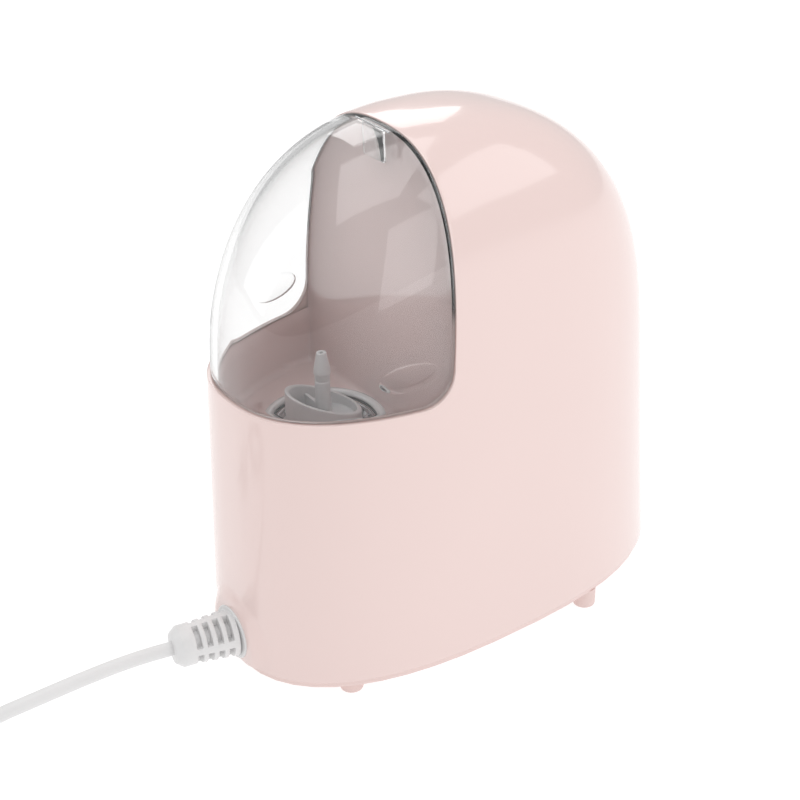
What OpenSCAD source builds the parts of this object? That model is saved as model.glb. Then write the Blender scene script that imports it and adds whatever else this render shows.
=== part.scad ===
// Bench-top dust collector with a domed body, a clear swing-up cover, a round
// intake with a scoop nozzle and hose spigot, and a vertical fan below it.
// Origin: middle of the footprint on the surface. +Z up, the clear cover faces -Y.

/* [Body] */
// Width of the body at its lower edge
body_w = 109; // [92:1:135]
// Length of the body at its lower edge
body_l = 199; // [180:1:240]
// Height of the whole unit
body_h = 217; // [185:1:260]
// Height of the body's lower edge above the surface
edge_z = 11.3; // [10:0.1:14]
// Height where the walls turn into the dome
shoulder_z = 108; // [100:1:118]
// Wall of the body shell
wall = 3; // [2:0.1:4]
// Share of the width that the draft takes away by the top
draft_w = 0.079; // [0:0.01:0.12]
// Share of the length that the draft takes away by the top
draft_l = 0.119; // [0:0.01:0.16]
// How far the top leans towards the front
lean_y = 5.3; // [0:0.1:8]

/* [Opening and cover] */
// Height of the front rim that the cover stands on
rim_z = 123.6; // [121:0.2:130]
// Distance from the front end to the upright edge of the opening, at the rim
opening_l = 68.5; // [60:0.5:80]
// Lean of the upright edge, in mm per mm of height
opening_lean = 0.046; // [0:0.002:0.06]
// Radius of the opening's lower corner
corner_r = 13; // [6:0.5:20]
// Wall of the clear cover
cover_wall = 2.6; // [2:0.1:3.4]
// Gap between the cover and the shell
cover_gap = 0.35; // [0.3:0.05:0.6]
// Depth of the finger dishes
dish_depth = 1.2; // [0.8:0.1:1.4]
// Width of the tongue behind the cover's top edge
tongue_w = 12.6; // [10:0.2:15]

/* [Intake and nozzle] */
// Height of the chamber floor
floor_z = 100.5; // [98:0.5:103]
// Distance from the front end to the intake's axis
intake_back = 44.8; // [42:0.2:46]
// Outer radius of the intake ring
ring_r = 23.7; // [22.5:0.1:25]
// Radius of the nozzle cup
cup_r = 14.4; // [12.5:0.1:16]
// Wall of the nozzle cup
cup_wall = 1.8; // [1.4:0.1:2.2]
// Slope of the cup's mouth, in mm per mm
cup_slope = 0.385; // [0.2:0.005:0.45]
// Radius of the spigot's stem
stem_r = 2.9; // [2.5:0.1:3.4]
// Height of the spigot's tip above the chamber floor
spigot_h = 30.1; // [27:0.1:33]

/* [Fan] */
// Outer radius of the fan housing
housing_r = 36; // [34:0.5:37]
// Radius of the impeller
impeller_r = 31; // [28:0.5:32]
// Radius of the motor
motor_r = 20; // [18:0.5:21]
// Radius of the motor shaft
shaft_r = 2.5; // [2:0.1:3]

/* [Cord and feet] */
// Diameter of the mains lead
cord_d = 5.5; // [5:0.1:6.5]
// Height of the lead where it leaves the body
gland_z = 21.5; // [21:0.1:26]
// Radius of the strain relief's flange
gland_r = 11; // [9:0.1:11]
// Length of the strain relief outside the body
gland_l = 24.5; // [20:0.5:40]
// Radius of a foot
foot_r = 4.7; // [4:0.1:5.5]

/* [Hidden] */
$fn = 64;
eps = 0.01;
far = 400;

// ---- outline of the body: a superellipse in plan, drawn in to a dome ----
plan_n = 2.5;
dome_w_rise = 4.25;
dome_w_fall = 2.47;
dome_l_rise = 2.75;
dome_l_fall = 2.19;
plan_steps = 48;
dome_steps = 11;

function share(z) = (z - edge_z) / (body_h - edge_z);
function rise(z, top) = max(0, min(1, (z - shoulder_z) / (top - shoulder_z)));
function half_w(z, inset) =
    (body_w / 2 * (1 - draft_w * share(z)) - inset)
    * pow(1 - pow(rise(z, body_h - inset), dome_w_rise), 1 / dome_w_fall);
function half_l(z, inset) =
    (body_l / 2 * (1 - draft_l * share(z)) - inset)
    * pow(1 - pow(rise(z, body_h - inset), dome_l_rise), 1 / dome_l_fall);
function mid_y(z) = -lean_y * share(z);
function signed_pow(v, e) = (v < 0 ? -1 : 1) * pow(abs(v), e);
function outline(w, l, y0) = [
    for (i = [0 : plan_steps - 1])
        let (a = 360 * (i + 0.5) / plan_steps)
            [w * signed_pow(cos(a), 2 / plan_n), y0 + l * signed_pow(sin(a), 2 / plan_n)]
];
function level(z, inset) = [for (p = outline(half_w(z, inset), half_l(z, inset), mid_y(z))) [p[0], p[1], z]];
// Height of the surface above a point of the middle line, found by halving.
function crown(y, inset, lo, hi, n = 24) =
    n == 0 ? (lo + hi) / 2
    : let (m = (lo + hi) / 2)
        abs(y - mid_y(m)) < half_l(m, inset)
            ? crown(y, inset, m, hi, n - 1)
            : crown(y, inset, lo, m, n - 1);
function front_y(z) = mid_y(z) - half_l(z, 0);
function rear_y(z) = mid_y(z) + half_l(z, 0);
function side_x(y, z, inset) =
    half_w(z, inset) * pow(1 - pow(abs((y - mid_y(z)) / half_l(z, inset)), plan_n), 1 / plan_n);

// A closed stack of outlines, each a list of points at one height.
module stack(levels) {
    n = len(levels[0]);
    m = len(levels);
    polyhedron(
        points = [for (l = levels) for (p = l) p],
        faces = concat(
            [[for (i = [0 : n - 1]) i]],
            [for (k = [0 : m - 2]) for (i = [0 : n - 1])
                [k * n + i, (k + 1) * n + i, (k + 1) * n + (i + 1) % n, k * n + (i + 1) % n]],
            [[for (i = [n - 1 : -1 : 0]) (m - 1) * n + i]]
        ),
        convexity = 6
    );
}

// Heights from z0 to the top of the dome, closer together near the top.
function dome_heights(z0, top) = concat(
    [z0, shoulder_z],
    [for (i = [1 : dome_steps]) shoulder_z + (top - shoulder_z) * sin(90 * i / (dome_steps + 0.35))]
);

module loaf(inset, z0) {
    stack([for (z = dome_heights(z0, body_h - inset)) level(z, inset)]);
}

// A prism with the body's own outline, between two heights of the straight wall.
module slab(inset, z0, z1) {
    stack([level(z0, inset), level(z1, inset)]);
}

// ---- the opening, as a side view drawn in Y and Z and pushed along X ----
opening_y = -body_l / 2 + opening_l;
function edge_y(z) = opening_y + opening_lean * (z - rim_z);
lean_deg = atan(opening_lean);
module opening_side(gap) {
    r = corner_r - gap;
    y0 = opening_y - gap;
    z0 = rim_z + gap;
    cy = y0 + opening_lean * r - r * sqrt(1 + pow(opening_lean, 2));
    top = body_h + 20;
    polygon(concat(
        [[-far, z0]],
        [for (a = [-90 : 7.5 : 0]) [cy + r * cos(a - lean_deg * (a + 90) / 90), z0 + r + r * sin(a)]],
        [[y0 + opening_lean * (top - z0), top], [-far, top]]
    ));
}
module along_x(w) {
    rotate([90, 0, 90])
        linear_extrude(w, center = true)
            children();
}

// ---- shared places ----
intake_y = -body_l / 2 + intake_back;
tray_inset = wall + 0.25;
tray_t = 2.5;
bulkhead_back = 2;
seat_z = floor_z - 3;
seat_r = 19.8;
ledge_r = 17.3;
ledge_z = seat_z - 1.5;
ring_in_r = 20.3;
ring_z = floor_z + 0.9;
ring_top_z = floor_z + 2.7;
gasket_t = 0.6;
guard_hub_z = seat_z + 1.8;
hub_pin_r = 3;
hub_pin_top = guard_hub_z + 2.2;
run_gap = 0.05;
cup_z = guard_hub_z;
cup_floor_t = 2.6;
cup_mouth_z = floor_z + 10.2;
bore_r = 1.2;
barb_r = 3.3;
tip_r = 1.95;
barb_z = floor_z + 21.3;
tip_z = floor_z + spigot_h;
post_r = 4.2;
post_top_z = floor_z + 10.5;

filter_r = 30;
filter_z = ledge_z - 14;
housing_top_z = filter_z;
housing_h = 31;
housing_z = housing_top_z - housing_h;
housing_wall = 2;
bracket_t = 2.5;
bracket_z = housing_z - bracket_t;
motor_h = 30;
motor_z = bracket_z - motor_h;
plate_t = 2.7;
plate_z = edge_z - plate_t;
plate_inset = 1;
leg_r = 4;
leg_ring = 34;
leg_angles = [30, 150, 200, 340];

duct_w = 36;
duct_wall = 1.8;
duct_lo = housing_z + 4;
duct_hi = housing_top_z - 4;
duct_drop_l = 22;
duct_end_y = body_l / 2 - 11;
duct_start_y = intake_y + housing_r + 5;

board_w = 60;
board_l = 58;
board_y = 0;
board_z = edge_z + 6.7;
board_t = 1.6;

foot_front = [33, -body_l / 2 + 32.5];
foot_rear = [body_w / 2 - 8, body_l / 2 - 57.5];
screw_x = body_w / 2 - 8.5;
screw_ys = [-25, 18];
screw_r = 1.5;
screw_head_r = 3;

button_z = 98;
button_r = 8;
button_travel = 1.5;
bezel_r = 11;
sleeve_r = 9.6;
bezel_y = rear_y(button_z) - 1;
switch_l = 14;

gland_turn = -11;
gland_face_y = front_y(gland_z) - 0.8;
gland_t = 2.4;
gland_stem_r = 7;
collar_r = 8.2;

hinge_reach = 3;
hinge_y = edge_y(body_h) - hinge_reach;
hinge_top_z = crown(hinge_y, 0, shoulder_z, body_h);
hinge_pin_r = 0.4;
hinge_z = hinge_top_z - 0.7;
hinge_pin_l = 21;

// ---- the lead's route, chosen by hand ----
exit_p = [gland_l * sin(gland_turn), gland_face_y - gland_l * cos(gland_turn), gland_z];
cord_lo = 3.3;
coil_c = [-58.5, -285];
coil_step = 5.7;
coil_out_r = 39.5;
coil_turns = 3;
cord_route = [
    [exit_p[0], exit_p[1], exit_p[2]],
    [-6.7, -135, 21.5],
    [-7.8, -145, 21.5],
    [-8.4, -156, 21.4],
    [-8.6, -168, 21.3],
    [-8.8, -180, 21],
    [-9.4, -191, 20.3],
    [-10.5, -202, 18.2],
    [-12, -213, 14.8],
    [-13.7, -223, 11],
    [-15.4, -233, 7.5],
    [-17, -243, 4.9],
    [-18.2, -253, 3.6],
    [-18.8, -262, 3.3],
    [-18.9, -270, 3.3]
];
tail_route = [
    [-95, -265, 9],
    [-95.5, -257, 8.9],
    [-95.8, -249, 8.5],
    [-95.8, -241, 8]
];
plug_at = [-95.8, -241, 8];
pin_r = 2;
pin_l = 19;
pin_step = 0.4;
lead_shift = intake_y + 54.7;
lead_route = [
    for (p = [
        [0, -93, 21.5], [2.5, -86, 21.2], [11, -79, 20], [21, -70, 18], [25, -58, 17],
        [24, -46, 17], [19.5, -34, 17], [14, -23, 18.5], [10, -13, 21.5], [10, -6, 23.5]
    ]) [p[0], p[1] + lead_shift, p[2]]
];

function unit(v) = v / norm(v);
function tangent(p, i) = unit(p[min(i + 1, len(p) - 1)] - p[max(i - 1, 0)]);
// A round tube along a route that never stands upright.
module tube(route, r, sides) {
    stack([
        for (i = [0 : len(route) - 1])
            let (t = tangent(route, i), u = unit(cross([0, 0, 1], t)), v = cross(t, u))
                [for (k = [0 : sides - 1])
                    let (a = -360 * k / sides)
                        route[i] + r * (u * cos(a) + v * sin(a))]
    ]);
}
module ring(r_out, r_in, h) {
    difference() {
        cylinder(r = r_out, h = h);
        translate([0, 0, -1])
            cylinder(r = r_in, h = h + 2);
    }
}
module at_intake(z) {
    translate([0, intake_y, z])
        children();
}
module both_sides() {
    children();
    mirror([1, 0, 0])
        children();
}
module at_screws(z) {
    for (y = screw_ys)
        both_sides()
            translate([screw_x, y, z])
                children();
}
// Runs a shape made along +Z out of the rear wall, along +Y.
module out_rear(y, z) {
    translate([0, y, z])
        rotate([-90, 0, 0])
            children();
}
// Runs a shape made along +Z out of the front wall, at the strain relief.
module out_front(y, turn = 0) {
    translate([0, y, gland_z])
        rotate([90, 0, turn])
            children();
}

// ---- casing ----
module body_shell() {
    color("mistyrose") {
        difference() {
            union() {
                loaf(0, edge_z);
                gland_boss();
            }
            loaf(wall, edge_z - 1);
            along_x(far)
                opening_side(0);
            out_front(gland_face_y)
                translate([0, 0, -10])
                    cylinder(r = gland_stem_r + 0.2, h = 20);
            out_front(gland_face_y + gland_t)
                cylinder(r = gland_r + 0.15, h = 10);
            out_rear(bezel_y - 10, button_z)
                cylinder(r = sleeve_r + 0.2, h = 20);
            out_rear(bezel_y, button_z)
                cylinder(r = bezel_r + 0.2, h = 10);
        }
        difference() {
            top_tab();
            hinge_bore(0.02, far);
        }
        at_screws(edge_z)
            screw_boss();
    }
}
// Flared swelling of the front wall round the strain relief.
boss_h = 5.2;
module gland_boss() {
    intersection() {
        out_front(gland_face_y + boss_h - 0.5)
            cylinder(r1 = gland_r + 8, r2 = gland_r + 1, h = boss_h);
        translate([-far, -far, edge_z])
            cube(2 * far);
    }
}
// Thin tab of the shell over the cover's top edge.
module top_tab() {
    w = tongue_w + 1.4;
    intersection() {
        difference() {
            loaf(0, shoulder_z);
            loaf(1, shoulder_z - 1);
        }
        translate([-w / 2, hinge_y - 0.9, rim_z])
            cube([w, hinge_reach + 2.6, body_h]);
    }
}
// Round cut on the cover's hinge axis.
module hinge_bore(gap, l) {
    translate([-l / 2, hinge_y, hinge_z])
        rotate([0, 90, 0])
            cylinder(r = hinge_pin_r + gap, h = l);
}
module hinge_pin() {
    color("silver")
        hinge_bore(0, hinge_pin_l);
}
module screw_boss() {
    difference() {
        intersection() {
            cylinder(r = 4.6, h = 20);
            translate([-far, -far, 0])
                cube([far + screw_x + 20, 2 * far, 30]);
        }
        translate([0, 0, -1])
            cylinder(r = screw_r, h = 18);
    }
}

module chamber_tray() {
    color("pink") {
        difference() {
            intersection() {
                slab(tray_inset, floor_z - tray_t, floor_z);
                front_part(bulkhead_back + tray_t);
            }
            at_intake(floor_z - 10)
                cylinder(r = seat_r, h = 20);
        }
        at_intake(ledge_z)
            difference() {
                cylinder(r = seat_r + 3, h = floor_z - ledge_z);
                translate([0, 0, -1])
                    cylinder(r = ledge_r, h = 20);
                translate([0, 0, seat_z - ledge_z])
                    cylinder(r = seat_r, h = 20);
            }
        intersection() {
            difference() {
                slab(tray_inset, floor_z - tray_t, rim_z - 0.3);
                slab(tray_inset + 1.6, floor_z - tray_t - 1, rim_z);
            }
            front_part(bulkhead_back + 1);
        }
        intersection() {
            loaf(tray_inset, floor_z - tray_t);
            difference() {
                front_part(bulkhead_back + tray_t);
                front_part(bulkhead_back);
            }
        }
    }
}
// Everything in front of the opening's plane, moved back by d.
module front_part(d) {
    along_x(far)
        polygon([
            [-far, 0],
            [edge_y(0) + d, 0],
            [edge_y(body_h + 20) + d, body_h + 20],
            [-far, body_h + 20]
        ]);
}

cover_band = 22;
function cover_inset(z) = 0.3 + 0.9 * max(0, min(1, (rim_z + cover_band - z) / cover_band));
module cover_loaf(more) {
    top = body_h - 0.3 - more;
    heights = concat(
        [rim_z - 2, rim_z + cover_band / 2, rim_z + cover_band],
        [for (i = [1 : dome_steps])
            let (z0 = rim_z + cover_band)
                z0 + (top - z0) * sin(90 * i / (dome_steps + 0.35))]
    );
    stack([for (z = heights) level(z, cover_inset(z) + more)]);
}
module clear_cover() {
    color("whitesmoke", 0.35) {
        difference() {
            intersection() {
                difference() {
                    cover_loaf(0);
                    cover_loaf(cover_wall);
                }
                along_x(far)
                    opening_side(cover_gap);
            }
            both_sides()
                finger_dish();
            translate([-tongue_w / 2 - 1, hinge_y - 1.4, hinge_top_z - 2])
                cube([tongue_w + 2, 10, 10]);
            hinge_bore(0.1, hinge_pin_l + 0.6);
        }
        cover_tongue();
    }
}
dish_c = [-47.5 + (body_l / -2 + 99.5), rim_z + 14];
module finger_dish() {
    long_r = (pow(11, 2) + pow(dish_depth, 2)) / (2 * dish_depth);
    short_r = (pow(5.5, 2) + pow(dish_depth, 2)) / (2 * dish_depth);
    x = side_x(dish_c[0], dish_c[1], cover_inset(dish_c[1]));
    slope = atan2(x - side_x(dish_c[0] - 8, dish_c[1], 0), 8);
    translate([x, dish_c[0], dish_c[1]])
        rotate([0, 0, -slope * 0.7])
            translate([short_r - dish_depth, 0, 0])
                rotate([90, 0, 0])
                    rotate_extrude()
                        intersection() {
                            translate([short_r - long_r, 0])
                                circle(r = long_r, $fn = 128);
                            translate([0, -far / 2])
                                square([far, far]);
                        }
}
tongue_y = edge_y(body_h - 12) - 2.2;
module cover_tongue() {
    intersection() {
        cover_loaf(eps);
        translate([-tongue_w / 2, tongue_y, hinge_top_z - 14])
            cube([tongue_w, 1.6, 11.8]);
    }
}
module side_of_bulkhead() {
    d = bulkhead_back;
    polygon([[-far, 0], [edge_y(0) + d, 0], [edge_y(far) + d, far], [-far, far]]);
}

// ---- intake ----
module intake_ring() {
    h = ring_top_z - ring_z;
    color("gainsboro")
        at_intake(ring_z)
            rotate_extrude()
                polygon([
                    [ring_in_r, 0], [ring_r, 0], [ring_r, h - 0.6], [ring_r - 0.6, h],
                    [ring_in_r + 0.5, h], [ring_in_r, h - 0.5]
                ]);
}
module ring_gasket() {
    color("dimgray")
        at_intake(floor_z)
            ring(ring_r - 0.8, seat_r + 0.2, gasket_t);
}
module intake_guard() {
    color("darkgray")
        at_intake(seat_z) {
            difference() {
                union() {
                    cylinder(r = seat_r - 0.2, h = 1.2);
                    cylinder(r = 6, h = guard_hub_z - seat_z);
                    cylinder(r = hub_pin_r, h = hub_pin_top - seat_z);
                    ring(seat_r - 0.2, seat_r - 1.4, 3.2);
                }
                translate([0, 0, -1])
                    cylinder(r = bore_r, h = 10);
                for (a = [0 : 30 : 330])
                    rotate([0, 0, a])
                        translate([0, 0, -1])
                            linear_extrude(3)
                                polygon([[7.5, -1.2], [8, 0.8], [16.4, 3.6], [16.8, 0.4]]);
            }
        }
}
module nozzle_cup() {
    top = cup_mouth_z + cup_r * cup_slope + 2;
    color("silver")
        at_intake(0)
            difference() {
                union() {
                    difference() {
                        translate([0, 0, cup_z])
                            cylinder(r = cup_r, h = top - cup_z);
                        translate([0, 0, cup_z + cup_floor_t])
                            cylinder(r = cup_r - cup_wall, h = top);
                    }
                    for (a = [0, 180])
                        rotate([0, 0, a])
                            translate([post_r, -0.6, cup_z + cup_floor_t - 0.5])
                                cube([cup_r - cup_wall - post_r + 0.5, 1.2, 6]);
                }
                translate([0, 0, cup_z - 1])
                    cylinder(r = hub_pin_r + run_gap, h = 10);
                mouth_cut(top);
            }
}
// Cuts the cup off along its slanting mouth, high at the front.
module mouth_cut(top) {
    s = 40;
    along_x(2 * s)
        polygon([
            [-s, cup_mouth_z + s * cup_slope], [s, cup_mouth_z - s * cup_slope],
            [s, top + s], [-s, top + s]
        ]);
}
module hose_spigot() {
    z0 = cup_z + cup_floor_t;
    color("silver")
        at_intake(0)
            rotate_extrude()
                polygon([
                    [bore_r, z0], [post_r, z0], [post_r, post_top_z - 1.2], [stem_r + 0.4, post_top_z],
                    [stem_r, post_top_z + 0.4], [stem_r, barb_z], [barb_r, barb_z + 0.3],
                    [tip_r, tip_z - 0.4], [tip_r - 0.3, tip_z], [bore_r, tip_z]
                ]);
}

// ---- filter and fan ----
module filter_frame() {
    h = ledge_z - filter_z;
    color("lightgray")
        at_intake(filter_z)
            difference() {
                cylinder(r = filter_r, h = h);
                translate([0, 0, 1.6])
                    cylinder(r = filter_r - 2, h = h);
                translate([0, 0, -1])
                    cylinder(r = filter_r - 8, h = h);
            }
}
module filter_pleats() {
    pitch = 5;
    n = floor((filter_r - 3) / pitch);
    h = 9;
    t = 1.2;
    color("white")
        at_intake(filter_z + 1.6)
            intersection() {
                cylinder(r = filter_r - 2.3, h = h + 2);
                along_x(far)
                    union() {
                        for (i = [-n : n - 1])
                            polygon([
                                [i * pitch, 0], [i * pitch + t, 0],
                                [(i + 0.5) * pitch + t, h], [(i + 0.5) * pitch, h]
                            ]);
                        for (i = [-n : n - 1])
                            polygon([
                                [(i + 0.5) * pitch, h], [(i + 0.5) * pitch + t, h],
                                [(i + 1) * pitch + t, 0], [(i + 1) * pitch, 0]
                            ]);
                    }
            }
}
module fan_housing() {
    w = duct_w - 2 * duct_wall;
    color("whitesmoke")
        difference() {
            union() {
                at_intake(housing_z)
                    cylinder(r = housing_r, h = housing_h);
                translate([-duct_w / 2, intake_y, duct_lo])
                    cube([duct_w, duct_start_y - intake_y, duct_hi - duct_lo]);
            }
            at_intake(housing_z + housing_wall)
                cylinder(r = housing_r - housing_wall, h = housing_h - 2 * housing_wall);
            at_intake(housing_z - 1)
                cylinder(r = 16.2, h = 3);
            at_intake(housing_top_z - 5)
                cylinder(r = filter_r - 9, h = 10);
            translate([-w / 2, intake_y, duct_lo + duct_wall])
                cube([w, far, duct_hi - duct_lo - 2 * duct_wall]);
        }
}
blade_n = 14;
module impeller() {
    z0 = housing_z + 5;
    color("dimgray")
        at_intake(z0)
            difference() {
                union() {
                    cylinder(r = impeller_r, h = 1.5);
                    cylinder(r = 6, h = 16);
                    for (i = [0 : blade_n - 1])
                        rotate([0, 0, i * 360 / blade_n])
                            translate([16, 0, 1.4])
                                rotate([0, 0, 35])
                                    cube([15, 1.4, 19]);
                }
                translate([0, 0, -1])
                    cylinder(r = shaft_r, h = 40);
                difference() {
                    translate([0, 0, 1.5])
                        cylinder(r = impeller_r + 10, h = 30);
                    translate([0, 0, 1])
                        cylinder(r = impeller_r, h = 40);
                }
            }
}
module motor_shaft() {
    color("silver")
        at_intake(motor_z + 3)
            cylinder(r = shaft_r, h = housing_z + 23 - motor_z - 3);
}
bearing_h = 4;
bearing_r = 6.5;
module motor_can() {
    color("gray")
        at_intake(motor_z + 2)
            difference() {
                cylinder(r = motor_r, h = motor_h - 2);
                translate([0, 0, -1])
                    cylinder(r = motor_r - 1.5, h = motor_h - 3);
                translate([0, 0, motor_h - 6])
                    cylinder(r = bearing_r, h = 3);
                translate([0, 0, motor_h - 6])
                    cylinder(r = shaft_r + 1, h = 20);
            }
}
module motor_endcap() {
    color("black")
        at_intake(motor_z) {
            difference() {
                cylinder(r = motor_r, h = 2);
                translate([0, 0, -1])
                    cylinder(r = shaft_r + 1, h = 10);
            }
            ring(bearing_r + 2, bearing_r, 2 + bearing_h);
        }
}
module shaft_bearings() {
    color("silver")
        at_intake(0) {
            translate([0, 0, motor_z + 2])
                ring(bearing_r, shaft_r + run_gap, bearing_h);
            translate([0, 0, bracket_z - 2 - bearing_h + 1])
                ring(bearing_r, shaft_r + run_gap, bearing_h);
        }
}
module motor_bracket() {
    color("darkgray")
        at_intake(0)
            difference() {
                union() {
                    translate([0, 0, bracket_z])
                        cylinder(r = leg_ring + leg_r + 1, h = bracket_t);
                    for (a = leg_angles)
                        rotate([0, 0, a])
                            translate([leg_ring, 0, edge_z])
                                cylinder(r = leg_r, h = bracket_z - edge_z + 1);
                }
                translate([0, 0, bracket_z - 1])
                    cylinder(r = 6, h = 10);
                for (a = [45 : 90 : 315])
                    rotate([0, 0, a])
                        translate([13, 0, bracket_z - 1])
                            cylinder(r = 1.5, h = 10);
            }
}
module motor_screws() {
    color("silver")
        at_intake(bracket_z)
            for (a = [45 : 90 : 315])
                rotate([0, 0, a])
                    translate([13, 0, 0]) {
                        cylinder(r = 1.5, h = bracket_t);
                        translate([0, 0, bracket_t])
                            ring(2.6, 0.8, 1.4);
                    }
}
module exhaust_duct() {
    t = duct_wall;
    y0 = duct_start_y;
    y1 = duct_end_y;
    yd = y1 - duct_drop_l;
    color("whitesmoke")
        difference() {
            translate([-duct_w / 2, y0, edge_z])
                cube([duct_w, y1 - y0, duct_hi - edge_z]);
            translate([-duct_w / 2 + t, y0 - 1, duct_lo + t])
                cube([duct_w - 2 * t, y1 - y0 + 1 - t, duct_hi - duct_lo - 2 * t]);
            translate([-duct_w / 2 + t, yd + t, edge_z - 1])
                cube([duct_w - 2 * t, duct_drop_l - 2 * t, duct_hi - edge_z - t]);
            translate([-duct_w, y0 - 1, 0])
                cube([2 * duct_w, yd - y0 + 1, duct_lo]);
        }
}

// ---- electrics ----
module control_board() {
    color("darkgreen")
        translate([-board_w / 2, board_y, board_z])
            difference() {
                cube([board_w, board_l, board_t]);
                for (x = [4, board_w - 4])
                    for (y = [4, board_l - 4])
                        translate([x, y, -1])
                            cylinder(r = 1.6, h = 4);
            }
}
module transformer() {
    color("gold")
        translate([-24, board_y + 22, board_z + board_t]) {
            cube([22, 20, 18]);
            translate([4, -2, 2])
                cube([14, 24, 14]);
        }
}
module capacitor() {
    color("navy")
        translate([14, board_y + 32, board_z + board_t])
            cylinder(r = 6, h = 20);
}
module terminal_block() {
    color("seagreen")
        translate([2, board_y + 1, board_z + board_t])
            difference() {
                cube([16, 11, 9.9]);
                for (x = [4.5, 11.5])
                    translate([x, 5.5, 5])
                        cylinder(r = 1.8, h = 10);
            }
}
module inner_lead() {
    end = [10, board_y + 1, board_z + board_t + 5.5];
    color("lightgray")
        tube(concat(lead_route, [end]), cord_d / 2, 8);
}
module button_bezel() {
    color("lightgray")
        out_rear(bezel_y, button_z)
            difference() {
                union() {
                    cylinder(r = bezel_r, h = 2);
                    translate([0, 0, -6])
                        cylinder(r = sleeve_r, h = 7);
                }
                translate([0, 0, -10])
                    cylinder(r = button_r + 0.3, h = 20);
            }
}
module power_button() {
    color("white")
        out_rear(bezel_y - 4, button_z) {
            cylinder(r = button_r, h = 8);
            translate([0, 0, -3])
                cylinder(r = 2, h = 4);
        }
}
module button_spring() {
    color("silver")
        out_rear(bezel_y - 9, button_z)
            ring(4.6, 3.4, 5);
}
module switch_body() {
    color("black")
        out_rear(bezel_y - 9 - switch_l, button_z)
            difference() {
                cylinder(r = sleeve_r, h = switch_l + 3);
                translate([0, 0, switch_l])
                    cylinder(r = button_r + 0.3, h = 10);
                translate([0, 0, switch_l - 4])
                    cylinder(r = 2.4, h = 10);
            }
}

// ---- lead entry ----
module strain_relief() {
    color("whitesmoke")
        difference() {
            union() {
                out_front(gland_face_y) {
                    translate([0, 0, -gland_t])
                        cylinder(r = gland_r, h = gland_t + 0.8);
                    translate([0, 0, -gland_t - 6])
                        cylinder(r = gland_stem_r, h = 8);
                }
                out_front(gland_face_y, gland_turn)
                    relief_sleeve(gland_l);
            }
            out_front(gland_face_y)
                translate([0, 0, -20])
                    cylinder(r = cord_d / 2, h = 20);
            out_front(gland_face_y, gland_turn)
                cylinder(r = cord_d / 2, h = gland_l + 1);
            out_front(gland_face_y)
                sphere(r = cord_d / 2);
        }
}
// Tapered sleeve with rows of slots, and a solid collar at its end.
module relief_sleeve(l) {
    rows = 4;
    pitch = (l - 8.2) / rows;
    difference() {
        rotate_extrude()
            polygon([
                [0, 0], [gland_r - 1.4, 0], [collar_r, l - 7], [collar_r, l - 2.6],
                [collar_r - 2.2, l], [0, l]
            ]);
        for (i = [0 : rows - 1])
            for (a = [50 : 90 : 320])
                rotate([0, 0, a])
                    translate([4.8, -5.4, 2.2 + i * pitch])
                        cube([10, 10.8, pitch * 0.55]);
    }
}
module relief_clip() {
    color("dimgray")
        out_front(gland_face_y + gland_t + 2.5)
            translate([0, 0, -1.8])
                ring(gland_stem_r + 2.5, gland_stem_r + 0.01, 1.8);
}

// ---- base ----
module plate_outline(inset, h) {
    linear_extrude(h)
        polygon(outline(half_w(edge_z, inset), half_l(edge_z, inset), mid_y(edge_z)));
}
module base_plate() {
    lip = wall + 0.3;
    color("mistyrose")
        difference() {
            union() {
                translate([0, 0, plate_z])
                    plate_outline(plate_inset, plate_t);
                difference() {
                    translate([0, 0, edge_z - eps])
                        plate_outline(lip, 2.5);
                    translate([0, 0, edge_z - 1])
                        plate_outline(lip + 1.6, 10);
                    at_screws(edge_z)
                        cylinder(r = 5.4, h = 10);
                    translate([-gland_r - 3, -far, edge_z])
                        cube([2 * gland_r + 6, far - 20, 10]);
                }
                for (x = [-board_w / 2 + 4, board_w / 2 - 4])
                    for (y = [board_y + 4, board_y + board_l - 4])
                        translate([x, y, edge_z - eps])
                            cylinder(r = 3, h = board_z - edge_z + eps);
            }
            at_screws(plate_z - 1)
                cylinder(r = screw_r + 0.2, h = 10);
            at_screws(plate_z - 1)
                cylinder(r = screw_head_r + 0.2, h = 2.4);
            for (i = [-2 : 2])
                translate([i * 6 - 1.25, duct_end_y - duct_drop_l + 3, plate_z - 1])
                    cube([2.5, duct_drop_l - 6, 10]);
            at_feet(plate_z - 1)
                cylinder(r = 2, h = 10);
            out_front(gland_face_y + gland_t + 0.2)
                cylinder(r = gland_r + 0.15, h = 10);
        }
}
module base_screws() {
    color("silver")
        at_screws(plate_z) {
            translate([0, 0, 1.4])
                cylinder(r = screw_r, h = 14);
            difference() {
                cylinder(r = screw_head_r, h = 1.4);
                translate([0, 0, -1])
                    cylinder(r = 1, h = 2);
            }
        }
}
module at_feet(z) {
    for (p = [foot_front, foot_rear])
        both_sides()
            translate([p[0], p[1], z])
                children();
}
module rubber_feet() {
    color("rosybrown")
        at_feet(0) {
            rotate_extrude()
                polygon([
                    [0, 0], [foot_r - 0.8, 0], [foot_r - 0.2, 0.3], [foot_r, 1],
                    [foot_r, plate_z], [0, plate_z]
                ]);
            translate([0, 0, plate_z - eps])
                cylinder(r = 2, h = 2 + eps);
        }
}

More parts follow.
